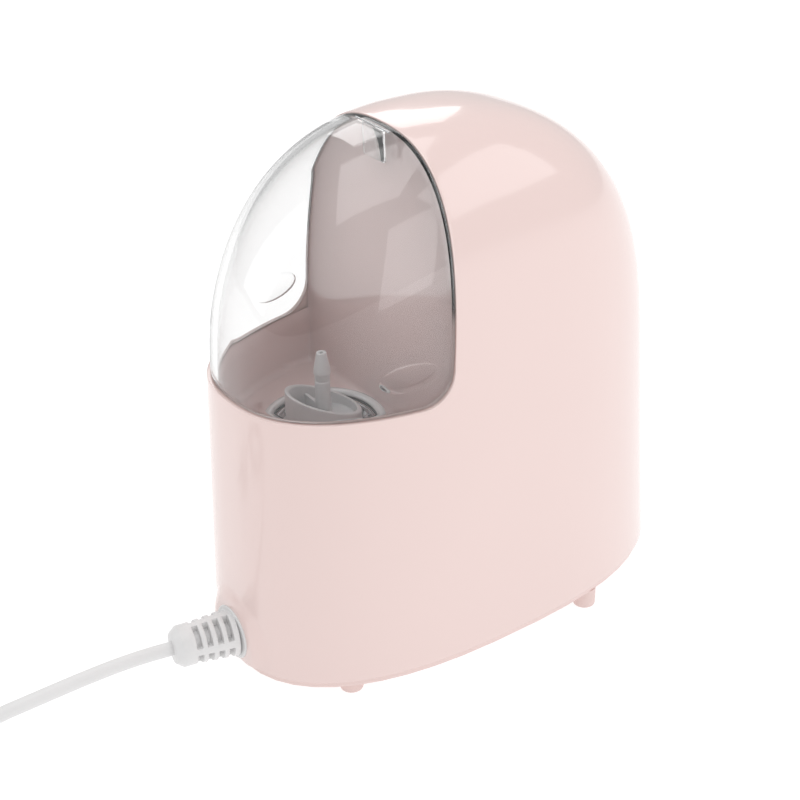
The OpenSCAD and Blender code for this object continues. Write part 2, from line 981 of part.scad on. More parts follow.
// ---- lead, coil and plug ----
module power_cord() {
    color("whitesmoke")
        tube(cord_route, cord_d / 2, 8);
}
coil_in_r = coil_out_r - coil_turns * coil_step - cord_d / 2;
coil_z = cord_lo - cord_d / 2;
coil_h = coil_step + cord_d;
module cord_coil() {
    color("whitesmoke")
        translate([coil_c[0], coil_c[1], coil_z])
            ring(coil_out_r + cord_d / 2, coil_in_r, coil_h);
}
tie_w = 9;
tie_t = 0.55;
module cord_tie() {
    w = coil_out_r + cord_d / 2 - coil_in_r;
    color("dimgray")
        translate([coil_c[0], coil_c[1], 0])
            rotate([0, 0, -90])
                translate([coil_in_r - 0.3, -tie_w / 2, 0])
                    difference() {
                        translate([-tie_t, 0, 0])
                            cube([w + 2 * tie_t + 0.6, tie_w, coil_z + coil_h + tie_t]);
                        translate([-0.2, -1, coil_z])
                            cube([w + 1, tie_w + 2, coil_h]);
                    }
}
module cord_tail() {
    color("whitesmoke")
        tube(tail_route, cord_d / 2, 8);
}
plug_l = 34;
plug_w = 26;
plug_h = 15;
module plug_body() {
    color("whitesmoke")
        translate(plug_at)
            difference() {
                rotate([-90, 0, 0])
                    union() {
                        cylinder(r1 = 4.2, r2 = 6, h = 9);
                        hull() {
                            translate([0, 0, 8.9])
                                cylinder(r = 5.6, h = 1, $fn = 32);
                            translate([0, 0, 14])
                                linear_extrude(plug_l - 14)
                                    square([plug_w, plug_h], center = true);
                        }
                    }
                for (x = [-9.5, 9.5])
                    translate([x, plug_l - 4, 0])
                        rotate([-90, 0, 0])
                            cylinder(r = pin_r - pin_step, h = 10);
            }
}
module plug_pins() {
    color("silver")
        for (x = [-9.5, 9.5])
            translate([plug_at[0] + x, plug_at[1] + plug_l, plug_at[2]])
                rotate([-90, 0, 0]) {
                    cylinder(r = pin_r, h = pin_l);
                    translate([0, 0, -4])
                        cylinder(r = pin_r - pin_step, h = 5);
                }
}

body_shell();
chamber_tray();
clear_cover();
hinge_pin();
intake_ring();
ring_gasket();
intake_guard();
nozzle_cup();
hose_spigot();
filter_frame();
filter_pleats();
fan_housing();
impeller();
motor_shaft();
motor_can();
motor_endcap();
shaft_bearings();
motor_bracket();
motor_screws();
exhaust_duct();
control_board();
transformer();
capacitor();
terminal_block();
inner_lead();
button_bezel();
power_button();
button_spring();
switch_body();
strain_relief();
relief_clip();
base_plate();
base_screws();
rubber_feet();
power_cord();
cord_coil();
cord_tie();
cord_tail();
plug_body();
plug_pins();
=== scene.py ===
"""Looks of a bench-top dust collector: a domed pink body, a clear swing-up cover, a round intake
with a scoop nozzle and hose spigot, and a mains lead with its coil and plug. Sizes are in metres."""

import math

import bmesh
import bpy
import numpy as np
from bpy.props import FloatProperty, FloatVectorProperty, PointerProperty
from mathutils import Matrix, Vector


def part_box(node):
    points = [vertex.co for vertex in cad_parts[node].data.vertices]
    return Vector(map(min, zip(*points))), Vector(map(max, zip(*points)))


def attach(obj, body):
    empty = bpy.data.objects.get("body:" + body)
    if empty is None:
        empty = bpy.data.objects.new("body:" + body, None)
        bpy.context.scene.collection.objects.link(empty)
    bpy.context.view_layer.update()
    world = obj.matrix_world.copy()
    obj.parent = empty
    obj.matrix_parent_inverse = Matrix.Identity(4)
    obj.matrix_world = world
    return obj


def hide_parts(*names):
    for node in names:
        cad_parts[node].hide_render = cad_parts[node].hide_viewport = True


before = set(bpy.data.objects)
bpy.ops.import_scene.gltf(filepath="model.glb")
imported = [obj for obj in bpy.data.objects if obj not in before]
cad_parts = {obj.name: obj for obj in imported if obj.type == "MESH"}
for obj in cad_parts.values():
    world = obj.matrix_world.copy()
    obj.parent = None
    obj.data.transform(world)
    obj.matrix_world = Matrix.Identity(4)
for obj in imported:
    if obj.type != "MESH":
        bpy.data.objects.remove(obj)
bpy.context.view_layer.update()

bl_info = {
    "name": "Dust collector",
    "version": (1, 0, 0),
    "blender": (4, 5, 0),
    "location": "View3D > Sidebar > Dust collector",
    "description": "Builds the visible pieces of a bench-top dust collector around its fixed frame",
    "category": "Add Mesh",
}

MM = 0.001
HOUSING, COVER, RING, NOZZLE, BUTTON = "housing", "cover", "ring", "nozzle", "button"
SAME = 2e-6  # points nearer than this are one point


# ---- sizes and colours


def size(name, description, millimetres, low=0.0, high=1000.0):
    return FloatProperty(
        name=name, description=description, default=millimetres * MM, min=low * MM, max=high * MM,
        subtype="DISTANCE", unit="LENGTH", precision=5,
    )


def colour(name, description, value):
    return FloatVectorProperty(
        name=name, description=description, default=value, size=3, min=0.0, max=1.0, subtype="COLOR"
    )


class BodySizes(bpy.types.PropertyGroup):
    """Sizes of the domed body and its opening"""

    width: size("Width", "Width of the body at its lower edge", 109)
    length: size("Length", "Length of the body at its lower edge", 199)
    height: size("Height", "Height of the whole unit", 217)
    edge: size("Lower edge", "Height of the body's lower edge", 11.3)
    shoulder: size("Shoulder", "Height where the walls turn into the dome", 108)
    lean: size("Lean", "How far the top leans to the front", 5.3)
    wall: size("Wall", "Wall of the shell", 3)
    rim: size("Rim", "Height of the front rim", 123.6)
    opening: size("Opening", "Length from the front end to the upright edge", 68.5)
    corner: size("Corner", "Radius of the opening's lower corner", 13)
    floor: size("Chamber floor", "Height of the chamber's floor", 100.5)
    bulkhead: size("Bulkhead", "How far the bulkhead stands behind the opening", 2)
    lip: size("Lip rounding", "Rounding of the shell's edges", 0.8)


class CoverSizes(bpy.types.PropertyGroup):
    """Sizes of the clear cover"""

    wall: size("Wall", "Wall of the clear cover", 2.6)
    gap: size("Gap", "Gap between the cover and the shell", 0.35)
    dish: size("Dish depth", "Depth of the finger dishes", 1.2)
    dish_long: size("Dish length", "Half the length of a finger dish", 11.5)
    dish_short: size("Dish height", "Half the height of a finger dish", 5.6)
    tongue: size("Tongue", "Width of the tongue at the top edge", 12.6)


class IntakeSizes(bpy.types.PropertyGroup):
    """Sizes of the intake, the scoop nozzle and the spigot"""

    back: size("Intake place", "Distance from the front end to the intake's axis", 44.8)
    ring: size("Ring radius", "Outer radius of the intake ring", 23.7)
    bore: size("Ring bore", "Inner radius of the intake ring", 20.3)
    seat: size("Seat radius", "Radius of the hole in the chamber's floor", 19.8)
    cup: size("Cup radius", "Outer radius of the nozzle cup", 14.4)
    cup_wall: size("Cup wall", "Wall of the nozzle cup", 1.8)
    slope: FloatProperty(
        name="Mouth slope", description="Slope of the cup's mouth", default=0.385, min=0, max=1
    )
    stem: size("Stem radius", "Radius of the spigot's stem", 2.9)


class CordSizes(bpy.types.PropertyGroup):
    """Sizes of the mains lead and its strain relief"""

    diameter: size("Diameter", "Diameter of the lead", 5.5)
    exit_height: size("Exit height", "Height where the lead leaves the body", 21.5)
    relief: size("Strain relief", "Length of the strain relief", 24.5)
    flange: size("Flange radius", "Radius of the strain relief's flange", 11)
    coil_radius: size("Coil radius", "Radius of the coil's outer turn", 39.5)
    coil_step: size("Coil step", "Distance between turns", 5.7)
    turns: FloatProperty(name="Turns", description="Turns in the coil", default=5.5, min=1, max=12)


class Looks(bpy.types.PropertyGroup):
    """Colours of the finishes"""

    pink: colour("Pink", "Colour of the glossy body", (0.80, 0.63, 0.60))
    chamber: colour("Chamber pink", "Colour of the chamber's moulding", (0.80, 0.63, 0.61))
    light_grey: colour("Light grey", "Colour of the intake ring", (0.74, 0.73, 0.73))
    grey: colour("Grey", "Colour of the nozzle and spigot", (0.66, 0.65, 0.655))
    cord: colour("Lead", "Colour of the lead and strain relief", (0.74, 0.735, 0.735))
    foot: colour("Foot", "Colour of the feet", (0.78, 0.61, 0.58))


# ---- shape of the body

DRAFT_W, DRAFT_L = 0.079, 0.119
PLAN, W_RISE, W_FALL, L_RISE, L_FALL = 2.5, 4.25, 2.47, 2.75, 2.19
LEAN = math.atan(0.046)
FRONT_TURN, REAR_TURN = math.pi / 2 + LEAN, -math.pi / 2 + LEAN


class Body:
    """The body's surface: a superellipse in plan that is drawn in to a dome.

    inset is a number or a function of height.
    """

    def __init__(self, sizes):
        self.s = sizes
        self.corner = Vector((0, -sizes.length / 2 + sizes.opening, sizes.rim))

    def share(self, z):
        return (z - self.s.edge) / (self.s.height - self.s.edge)

    def rise(self, z, top):
        return np.clip((z - self.s.shoulder) / (top - self.s.shoulder), 0, 1)

    def half_w(self, z, inset):
        full = self.s.width / 2 * (1 - DRAFT_W * self.share(z)) - inset
        return full * (1 - self.rise(z, self.s.height - inset) ** W_RISE) ** (1 / W_FALL)

    def half_l(self, z, inset):
        full = self.s.length / 2 * (1 - DRAFT_L * self.share(z)) - inset
        return full * (1 - self.rise(z, self.s.height - inset) ** L_RISE) ** (1 / L_FALL)

    def mid_y(self, z):
        return -self.s.lean * self.share(z)

    def edge_y(self, z):
        """The upright edge of the opening."""
        return self.corner.y + math.tan(LEAN) * (z - self.s.rim)

    def beyond(self, p, inset):
        inset = inset(p[:, 2]) if callable(inset) else inset
        z = p[:, 2]
        w = np.maximum(self.half_w(z, inset), 1e-7)
        length = np.maximum(self.half_l(z, inset), 1e-7)
        plan = (np.abs(p[:, 0]) / w) ** PLAN + (np.abs(p[:, 1] - self.mid_y(z)) / length) ** PLAN
        return (plan > 1) | (z > self.s.height - inset)

    def reach(self, start, way, inset):
        """How far it is from start along each way to the surface, by halving."""
        low, high = np.zeros(len(way)), np.full(len(way), 0.3)
        for _ in range(34):
            middle = (low + high) / 2
            out = self.beyond(start + way * middle[:, None], inset)
            low, high = np.where(out, low, middle), np.where(out, middle, high)
        return low

    def hit(self, start, way, inset):
        start = np.array(start, float)
        return start + way * self.reach(start, way, inset)[:, None]

    def crown(self, y, inset):
        """Height of the surface on the middle line."""
        return self.hit((0, y, 0.15), np.array([[0.0, 0.0, 1.0]]), inset)[0][2]

    def outline(self, angle, z, inset):
        """Points of the plan at one height, by angle round the middle."""
        c, s = np.cos(angle), np.sin(angle)
        x = self.half_w(z, inset) * np.sign(c) * np.abs(c) ** (2 / PLAN)
        y = self.mid_y(z) + self.half_l(z, inset) * np.sign(s) * np.abs(s) ** (2 / PLAN)
        return np.stack([x, y, np.broadcast_to(z, x.shape)], -1)


def fan_way(turn, swing):
    """Ways out from the opening's corner line.

    turn is 0 along the upright edge and positive to the front, swing goes from +X over to -X.
    """
    t = turn - LEAN
    return np.stack([np.cos(swing), -np.sin(t) * np.sin(swing), np.cos(t) * np.sin(swing)], -1)


def fillet_reach(turn, radius):
    """Distance from the corner to the rounded corner's arc, in the side view."""
    half = FRONT_TURN / 2
    away = np.abs(turn - half)
    centre = radius / math.sin(half)
    return centre * np.cos(away) - np.sqrt(np.maximum(radius**2 - (centre * np.sin(away)) ** 2, 0))


def fillet_swing(body, start, turns, radius, inset):
    """The swing at which each turn's row of the surface crosses the rounded corner."""
    start = np.array(start, float)
    low, high = np.zeros(len(turns)), np.full(len(turns), math.pi / 2)
    for _ in range(30):
        middle = (low + high) / 2
        far = body.reach(start, fan_way(turns, middle), inset) * np.sin(middle)
        out = far > fillet_reach(turns, radius)
        low, high = np.where(out, low, middle), np.where(out, middle, high)
    return high


# ---- mesh helpers


def sheet(bm, across, up, place):
    """A grid whose corners and lines go where place(u, v) says. Returns its vertices."""
    made = bmesh.ops.create_grid(bm, x_segments=across, y_segments=up, size=0.5)["verts"]
    flat = np.array([v.co[:2] for v in made])
    flat = (flat - flat.min(0)) / (flat.max(0) - flat.min(0))
    for vert, co in zip(made, place(flat[:, 0], flat[:, 1])):
        vert.co = co
    return made


def rim_edges(verts):
    """Open edges round the faces of these vertices."""
    faces = {f for v in verts if v.is_valid for f in v.link_faces}
    return [e for e in {e for f in faces for e in f.edges} if e.is_boundary]


def weld(bm, distance=SAME):
    bmesh.ops.remove_doubles(bm, verts=bm.verts[:], dist=distance)


def move(bm, place):
    bmesh.ops.transform(bm, matrix=place, verts=bm.verts[:])


def new_verts(geom):
    return [g for g in geom if isinstance(g, bmesh.types.BMVert)]


def face_outwards(bm):
    bmesh.ops.recalc_face_normals(bm, faces=bm.faces[:])


def round_edges(bm, width, segments=2, degrees=40, test=None):
    """Rounds the edges that turn by more than this many degrees and pass the test."""
    limit = math.radians(degrees)
    edges = [
        e for e in bm.edges
        if len(e.link_faces) == 2 and e.calc_face_angle() > limit and (test is None or test(e))
    ]
    if edges:
        bmesh.ops.bevel(
            bm, geom=edges, offset=width, offset_type="OFFSET", affect="EDGES", segments=segments,
            profile=0.5, material=-1, clamp_overlap=True,
        )


def finish(bm, name, material, body, nodes=(), smooth=35, tidy=True):
    """Turns the mesh into a piece that rides on a body and stands for CAD nodes."""
    if tidy:
        weld(bm)
        face_outwards(bm)
    mesh = bpy.data.meshes.new(name)
    bm.to_mesh(mesh)
    bm.free()
    piece = bpy.data.objects.new(name, mesh)
    bpy.context.scene.collection.objects.link(piece)
    mesh.materials.append(material)
    mesh.shade_smooth()
    if smooth:
        mesh.set_sharp_from_angle(angle=math.radians(smooth))
    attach(piece, body)
    if nodes:
        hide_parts(*nodes)
    return piece


def lathe(bm, profile, steps=96, place=None):
    """A profile of (radius, height) points spun round +Z, then placed."""
    verts = [bm.verts.new((r, 0, z)) for r, z in profile]
    edges = [bm.edges.new(pair) for pair in zip(verts, verts[1:])]
    bmesh.ops.spin(
        bm, geom=verts + edges, cent=(0, 0, 0), axis=(0, 0, 1), angle=2 * math.pi, steps=steps,
        use_merge=True, use_duplicate=False,
    )
    weld(bm, 1e-7)
    if place is not None:
        move(bm, place)


def rounded(points, radius, count=3, closed=False):
    """A profile whose inner corners are rounded, each by at most the given radius."""
    result = []
    total = len(points)
    for i, p in enumerate(points):
        if not closed and i in (0, total - 1):
            result.append(tuple(p))
            continue
        a, b, c = Vector(points[i - 1]), Vector(p), Vector(points[(i + 1) % total])
        r = min(radius, (a - b).length * 0.45, (c - b).length * 0.45)
        start, end = b + (a - b).normalized() * r, b + (c - b).normalized() * r
        for k in range(count + 1):
            t = k / count
            result.append(tuple((1 - t) ** 2 * start + 2 * t * (1 - t) * b + t**2 * end))
    if closed:
        result.append(result[0])
    return result


def box(bm, low, high):
    low, high = Vector(low), Vector(high)
    made = bmesh.ops.create_cube(bm, size=1)["verts"]
    for v in made:
        v.co = Vector([low[i] + (v.co[i] + 0.5) * (high[i] - low[i]) for i in range(3)])
    return made


def out_of_front(y, z, turn=0.0):
    """Turns a shape made along +Z so that it points out of the front wall."""
    upright = Matrix.Rotation(math.pi / 2, 4, "X")
    return Matrix.Translation((0, y, z)) @ Matrix.Rotation(turn, 4, "Z") @ upright


def out_of_rear(y, z):
    return Matrix.Translation((0, y, z)) @ Matrix.Rotation(-math.pi / 2, 4, "X")


# ---- finishes


class Wire:
    """A socket's value in a shader. Arithmetic on it adds the Math nodes."""

    def __init__(self, finish_, socket):
        self.finish, self.socket = finish_, socket

    def maths(self, operation, *others):
        values = {i: v for i, v in enumerate((self, *others))}
        return self.finish.node("ShaderNodeMath", {"operation": operation}, values)

    def __add__(self, other):
        return self.maths("ADD", other)

    def __mul__(self, other):
        return self.maths("MULTIPLY", other)

    def __sub__(self, other):
        return self.maths("SUBTRACT", other)

    def __pow__(self, other):
        return self.maths("POWER", other)


class Finish:
    """A node material under construction."""

    def __init__(self, name):
        self.material = bpy.data.materials.new(name)
        self.material.use_nodes = True
        self.tree = self.material.node_tree
        self.tree.nodes.clear()

    def node(self, kind, settings=None, inputs=None, out=0):
        made = self.tree.nodes.new(kind)
        for key, value in (settings or {}).items():
            if key == "stops":
                ramp = made.color_ramp
                while len(ramp.elements) < len(value):
                    ramp.elements.new(0.5)
                for element, (place, tint) in zip(ramp.elements, value):
                    element.position, element.color = place, tint
            else:
                setattr(made, key, value)
        for key, value in (inputs or {}).items():
            if isinstance(value, Wire):
                self.tree.links.new(value.socket, made.inputs[key])
            else:
                made.inputs[key].default_value = value
        return Wire(self, made.outputs[out]) if made.outputs else None

    def place(self):
        return self.node("ShaderNodeTexCoord", out="Object")

    def noise(self, scale, detail, roughness):
        return self.node(
            "ShaderNodeTexNoise", {"noise_dimensions": "3D"},
            {"Vector": self.place(), "Scale": scale, "Detail": detail, "Roughness": roughness},
        )

    def blend(self, factor, low, high):
        inputs = {"Factor": factor, 6: low, 7: high}
        return self.node("ShaderNodeMix", {"data_type": "RGBA"}, inputs, 2)

    def bump(self, strength, distance, height):
        inputs = {"Strength": strength, "Distance": distance, "Height": height}
        return self.node("ShaderNodeBump", None, inputs)

    def surface(self, **inputs):
        names = {k.replace("_", " ").title().replace("Ior", "IOR"): v for k, v in inputs.items()}
        shader = self.node("ShaderNodeBsdfPrincipled", None, names)
        self.node("ShaderNodeOutputMaterial", None, {"Surface": shader})
        return self.material


def rgba(c, scale=1.0):
    return (c[0] * scale, c[1] * scale, c[2] * scale, 1.0)


_made = {}


def once(build):
    """Each finish is made once and shared."""

    def get(*args):
        key = (build.__name__, *[a if isinstance(a, (str, float)) else str(tuple(a)) for a in args])
        if key not in _made:
            _made[key] = build(*args)
        return _made[key]

    return get


@once
def glossy_plastic(name, tint, roughness=0.16, coat=0.6):
    """Polished moulded plastic: faint flow marks, fine haze and a trace of orange peel."""
    f = Finish(name)
    flow = f.noise(14, 2, 0.4)
    haze = f.noise(160, 4, 0.6)
    peel = f.noise(900, 2, 0.5)
    base = f.blend(flow, rgba(tint, 0.985), rgba(tint, 1.01))
    bump = f.bump(0.05, 0.00006, peel)
    return f.surface(
        base_color=base,
        roughness=haze * 0.06 + (roughness - 0.03),
        coat_weight=coat,
        coat_roughness=0.04,
        normal=bump,
        ior=1.5,
    )


@once
def satin_plastic(name, tint, roughness=0.38, grain=1800.0, depth=0.12):
    """Moulded plastic with a fine grain and slight shade changes."""
    f = Finish(name)
    grain_ = f.noise(grain, 3, 0.6)
    shade = f.noise(30, 3, 0.5)
    base = f.blend(shade, rgba(tint, 0.95), rgba(tint, 1.03))
    bump = f.bump(depth, 0.00005, grain_)
    return f.surface(base_color=base, roughness=grain_ * 0.1 + (roughness - 0.05), normal=bump, ior=1.47)


@once
def clear_plastic(name):
    """Clear moulded plastic: faint ripple, and painted shade where its wall is seen edge on, darkening
    the colour there to stand in for the dark refraction of its walls.
    """
    f = Finish(name)
    ripple = f.noise(35, 1, 0.3)
    bump = f.bump(0.02, 0.0002, ripple)
    edge_on_shade = f.node("ShaderNodeLayerWeight", None, {"Blend": 0.5}, 1) ** 5
    # Painted shade: the colour goes near black where the wall is seen edge on, standing in for the dark
    # refraction at the clear walls.
    tint = f.blend(edge_on_shade, (0.97, 0.972, 0.972, 1), (0.16, 0.17, 0.17, 1))
    return f.surface(
        base_color=tint,
        roughness=0.0,
        transmission_weight=1.0,
        ior=1.46,
        normal=bump,
    )


@once
def polished_steel(name, tint, roughness=0.14):
    """Spun and polished steel: fine rings and small smears."""
    f = Finish(name)
    smear = f.noise(60, 4, 0.6)
    rings = f.node(
        "ShaderNodeTexWave",
        {"wave_type": "RINGS", "rings_direction": "Z"},
        {"Vector": f.place(), "Scale": 900.0, "Distortion": 1.5, "Detail": 2.0},
    )
    bump = f.bump(0.06, 0.00003, rings)
    return f.surface(
        base_color=f.blend(smear, rgba(tint, 0.9), rgba(tint)),
        metallic=1.0,
        roughness=smear * 0.12 + roughness - 0.04,
        normal=bump,
    )


@once
def soft_rubber(name, tint):
    """Matte rubber with a dusty bloom."""
    f = Finish(name)
    bloom = f.noise(90, 5, 0.65)
    grain = f.noise(2600, 2, 0.6)
    bump = f.bump(0.25, 0.00006, grain)
    return f.surface(
        base_color=f.blend(bloom, rgba(tint, 0.93), rgba(tint, 1.06)),
        roughness=bloom * 0.12 + 0.52,
        normal=bump,
    )


@once
def lead_jacket(name, tint):
    """Soft plastic jacket: a slight sheen and a fine leathery skin."""
    f = Finish(name)
    skin = f.noise(1400, 4, 0.55)
    shade = f.noise(45, 3, 0.5)
    bump = f.bump(0.16, 0.00005, skin)
    return f.surface(
        base_color=f.blend(shade, rgba(tint, 0.97), rgba(tint, 1.02)),
        roughness=skin * 0.1 + 0.34,
        normal=bump,
    )


@once
def woven_strap(name, tint):
    """Hook-and-loop strap: a felt of fine loops."""
    f = Finish(name)
    loops = f.node("ShaderNodeTexVoronoi", {"feature": "F1"}, {"Vector": f.place(), "Scale": 2200.0})
    bump = f.bump(0.6, 0.0002, loops)
    return f.surface(
        base_color=f.blend(loops, rgba(tint, 1.35), rgba(tint, 0.7)), roughness=0.85, normal=bump
    )


@once
def filter_paper(name, tint):
    """Non-woven filter cloth with loose fibres."""
    f = Finish(name)
    fibre = f.noise(700, 8, 0.75)
    bump = f.bump(0.5, 0.0002, fibre)
    return f.surface(
        base_color=f.blend(fibre, rgba(tint, 0.82), rgba(tint, 1.05)), roughness=0.9, normal=bump
    )


@once
def circuit_board(name):
    """Green board with paler tracks."""
    f = Finish(name)
    cells = f.node(
        "ShaderNodeTexVoronoi",
        {"feature": "DISTANCE_TO_EDGE"}, {"Vector": f.place(), "Scale": 160.0},
    )
    track = f.node(
        "ShaderNodeValToRGB",
        {"stops": [(0.0, (1, 1, 1, 1)), (0.06, (1, 1, 1, 1)), (0.08, (0, 0, 0, 1))]},
        {0: cells},
    )
    bump = f.bump(0.3, 0.0001, track)
    return f.surface(
        base_color=f.blend(track, (0.012, 0.10, 0.04, 1), (0.04, 0.22, 0.09, 1)),
        roughness=0.3,
        normal=bump,
    )


@once
def taped_winding(name):
    """A taped winding: wraps of tape, with a step at each edge."""
    f = Finish(name)
    wraps = f.node(
        "ShaderNodeTexWave",
        {"wave_type": "BANDS", "bands_direction": "Y", "wave_profile": "SAW"},
        {"Vector": f.place(), "Scale": 90.0, "Distortion": 0.3},
    )
    bump = f.bump(0.4, 0.0002, wraps)
    return f.surface(
        base_color=f.blend(wraps, (0.55, 0.38, 0.06, 1), (0.72, 0.55, 0.14, 1)),
        roughness=0.35,
        normal=bump,
    )


# ---- casing


def get_body(context):
    return Body(context.scene.dust_body)


def mm(*points):
    """Points given in millimetres, in metres."""
    return [tuple(c * MM for c in p) for p in points]


def settings(context, *names):
    return [getattr(context.scene, "dust_" + name) for name in names]


def shell_surface(bm, body, inset, across, boss):
    """The shell's surface on one side of its wall: dome, walls and the corners of the opening."""
    s = body.s
    start = body.corner
    side, rows, rear_rows, wall_rows = 8, 36, 76, 64
    total = across + 2 * side
    marks = [0, side / total, 1 - side / total, 1]
    turns = np.linspace(0, FRONT_TURN, rows + 1)
    swings = fillet_swing(body, start, turns, s.corner, inset)

    def rear(u, v):
        swing = np.interp(u, marks, [0, swings[0], math.pi - swings[0], math.pi])
        return body.hit(start, fan_way(v * REAR_TURN, swing), inset)

    def corner(flip):
        def place(u, v):
            turn = v * FRONT_TURN
            p = body.hit(start, fan_way(turn, u * np.interp(turn, turns, swings)), inset)
            return p * [-1 if flip else 1, 1, 1]

        return place

    def wall(turn, first):
        def place(u, v):
            swing = np.interp(u, marks, [0, first, math.pi - first, math.pi])
            top = body.hit(start, fan_way(np.full(len(u), turn), swing), inset)
            z = np.interp(v, [0, 0.5, 1], [s.rim, s.edge + 32 * MM, s.edge])
            x = top[:, 0] * body.half_w(z, inset) / body.half_w(s.rim, inset)
            y = (top[:, 1] - body.mid_y(s.rim)) * body.half_l(z, inset) / body.half_l(s.rim, inset)
            p = np.stack([x, y + body.mid_y(z), z], -1)
            return boss(p) if boss and turn > 0 else p

        return place

    made = sheet(bm, total, rear_rows, rear)
    made += sheet(bm, side, rows, corner(False))
    made += sheet(bm, side, rows, corner(True))
    made += sheet(bm, total, wall_rows, wall(FRONT_TURN, swings[-1]))
    made += sheet(bm, total, wall_rows, wall(REAR_TURN, swings[0]))
    bmesh.ops.remove_doubles(bm, verts=made, dist=SAME)
    return [v for v in made if v.is_valid]


def make_shell(context):
    body = get_body(context)
    s, cord, looks = settings(context, "body", "cord", "looks")

    def boss(p):
        away = np.hypot(p[:, 0], p[:, 2] - cord.exit_height)
        t = np.clip((cord.flange + 8.5 * MM - away) / (7 * MM), 0, 1)
        lift = t * t * (3 - 2 * t)
        flat = body.outline(np.array([-math.pi / 2]), cord.exit_height, 0.0)[0][1] - 1.1 * MM
        p = p.copy()
        p[:, 1] = np.where(p[:, 1] < 0, p[:, 1] + lift * np.minimum(flat - p[:, 1], 0), p[:, 1])
        return p

    bm = bmesh.new()
    outer = shell_surface(bm, body, 0.0, 150, boss)
    inner = shell_surface(bm, body, s.wall, 150, None)
    for test in (lambda e: e.verts[0].co.z > s.rim - MM, lambda e: e.verts[0].co.z < s.edge + MM):
        edges = [e for verts in (outer, inner) for e in rim_edges(verts) if test(e)]
        bmesh.ops.bridge_loops(bm, edges=edges)
    face_outwards(bm)
    round_edges(bm, s.lip, 3, 50)
    return finish(
        bm, "body_shell_moulding", glossy_plastic("pink_gloss", looks.pink), HOUSING, ["body_shell"],
        smooth=60,
    )


class DUST_OT_shell(bpy.types.Operator):
    """Makes the domed shell with its opening and the swelling round the lead's exit"""

    bl_idname = "dust.shell"
    bl_label = "Body shell"

    def execute(self, context):
        make_shell(context)
        return {"FINISHED"}


class DUST_OT_base(bpy.types.Operator):
    """Makes the strip of the base that shows under the shell, and finishes the base, feet and screws"""

    bl_idname = "dust.base"
    bl_label = "Base and feet"

    def execute(self, context):
        body = get_body(context)
        s, looks = settings(context, "body", "looks")
        bm = bmesh.new()
        inset = 0.95 * MM

        def side(u, v):
            z = s.edge + 0.2 * MM - v * 2.95 * MM
            p = body.outline(u * 2 * math.pi, s.edge, inset)
            p[:, 2] = z
            return p

        sheet(bm, 240, 3, side)
        weld(bm)
        face_outwards(bm)
        low = [e for e in bm.edges if e.is_boundary and e.verts[0].co.z < s.edge - 2 * MM]
        made = bmesh.ops.extrude_edge_only(bm, edges=low)["geom"]
        for v in new_verts(made):
            v.co.x *= 0.965
            v.co.y = body.mid_y(s.edge) + (v.co.y - body.mid_y(s.edge)) * 0.98
        face_outwards(bm)
        round_edges(bm, 0.6 * MM, 3, 50)
        piece = finish(
            bm, "base_strip", satin_plastic("pink_satin", looks.pink, 0.3), HOUSING, (),
            tidy=False,
        )
        outward(piece)
        dress("base_plate", satin_plastic("pink_satin", looks.pink, 0.3))
        dress("rubber_feet", soft_rubber("foot_rubber", looks.foot))
        dress("base_screws", polished_steel("screw_steel", (0.62, 0.62, 0.63)))
        return {"FINISHED"}


def outward(piece):
    """Flips an open strip so that its faces look away from the middle."""
    mesh = piece.data
    total = sum(p.normal.dot(Vector((p.center.x, p.center.y, 0))) * p.area for p in mesh.polygons)
    if total < 0:
        mesh.flip_normals()


def dress(node, material):
    """Gives a CAD node its finish."""
    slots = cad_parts[node].data.materials
    slots.clear()
    slots.append(material)


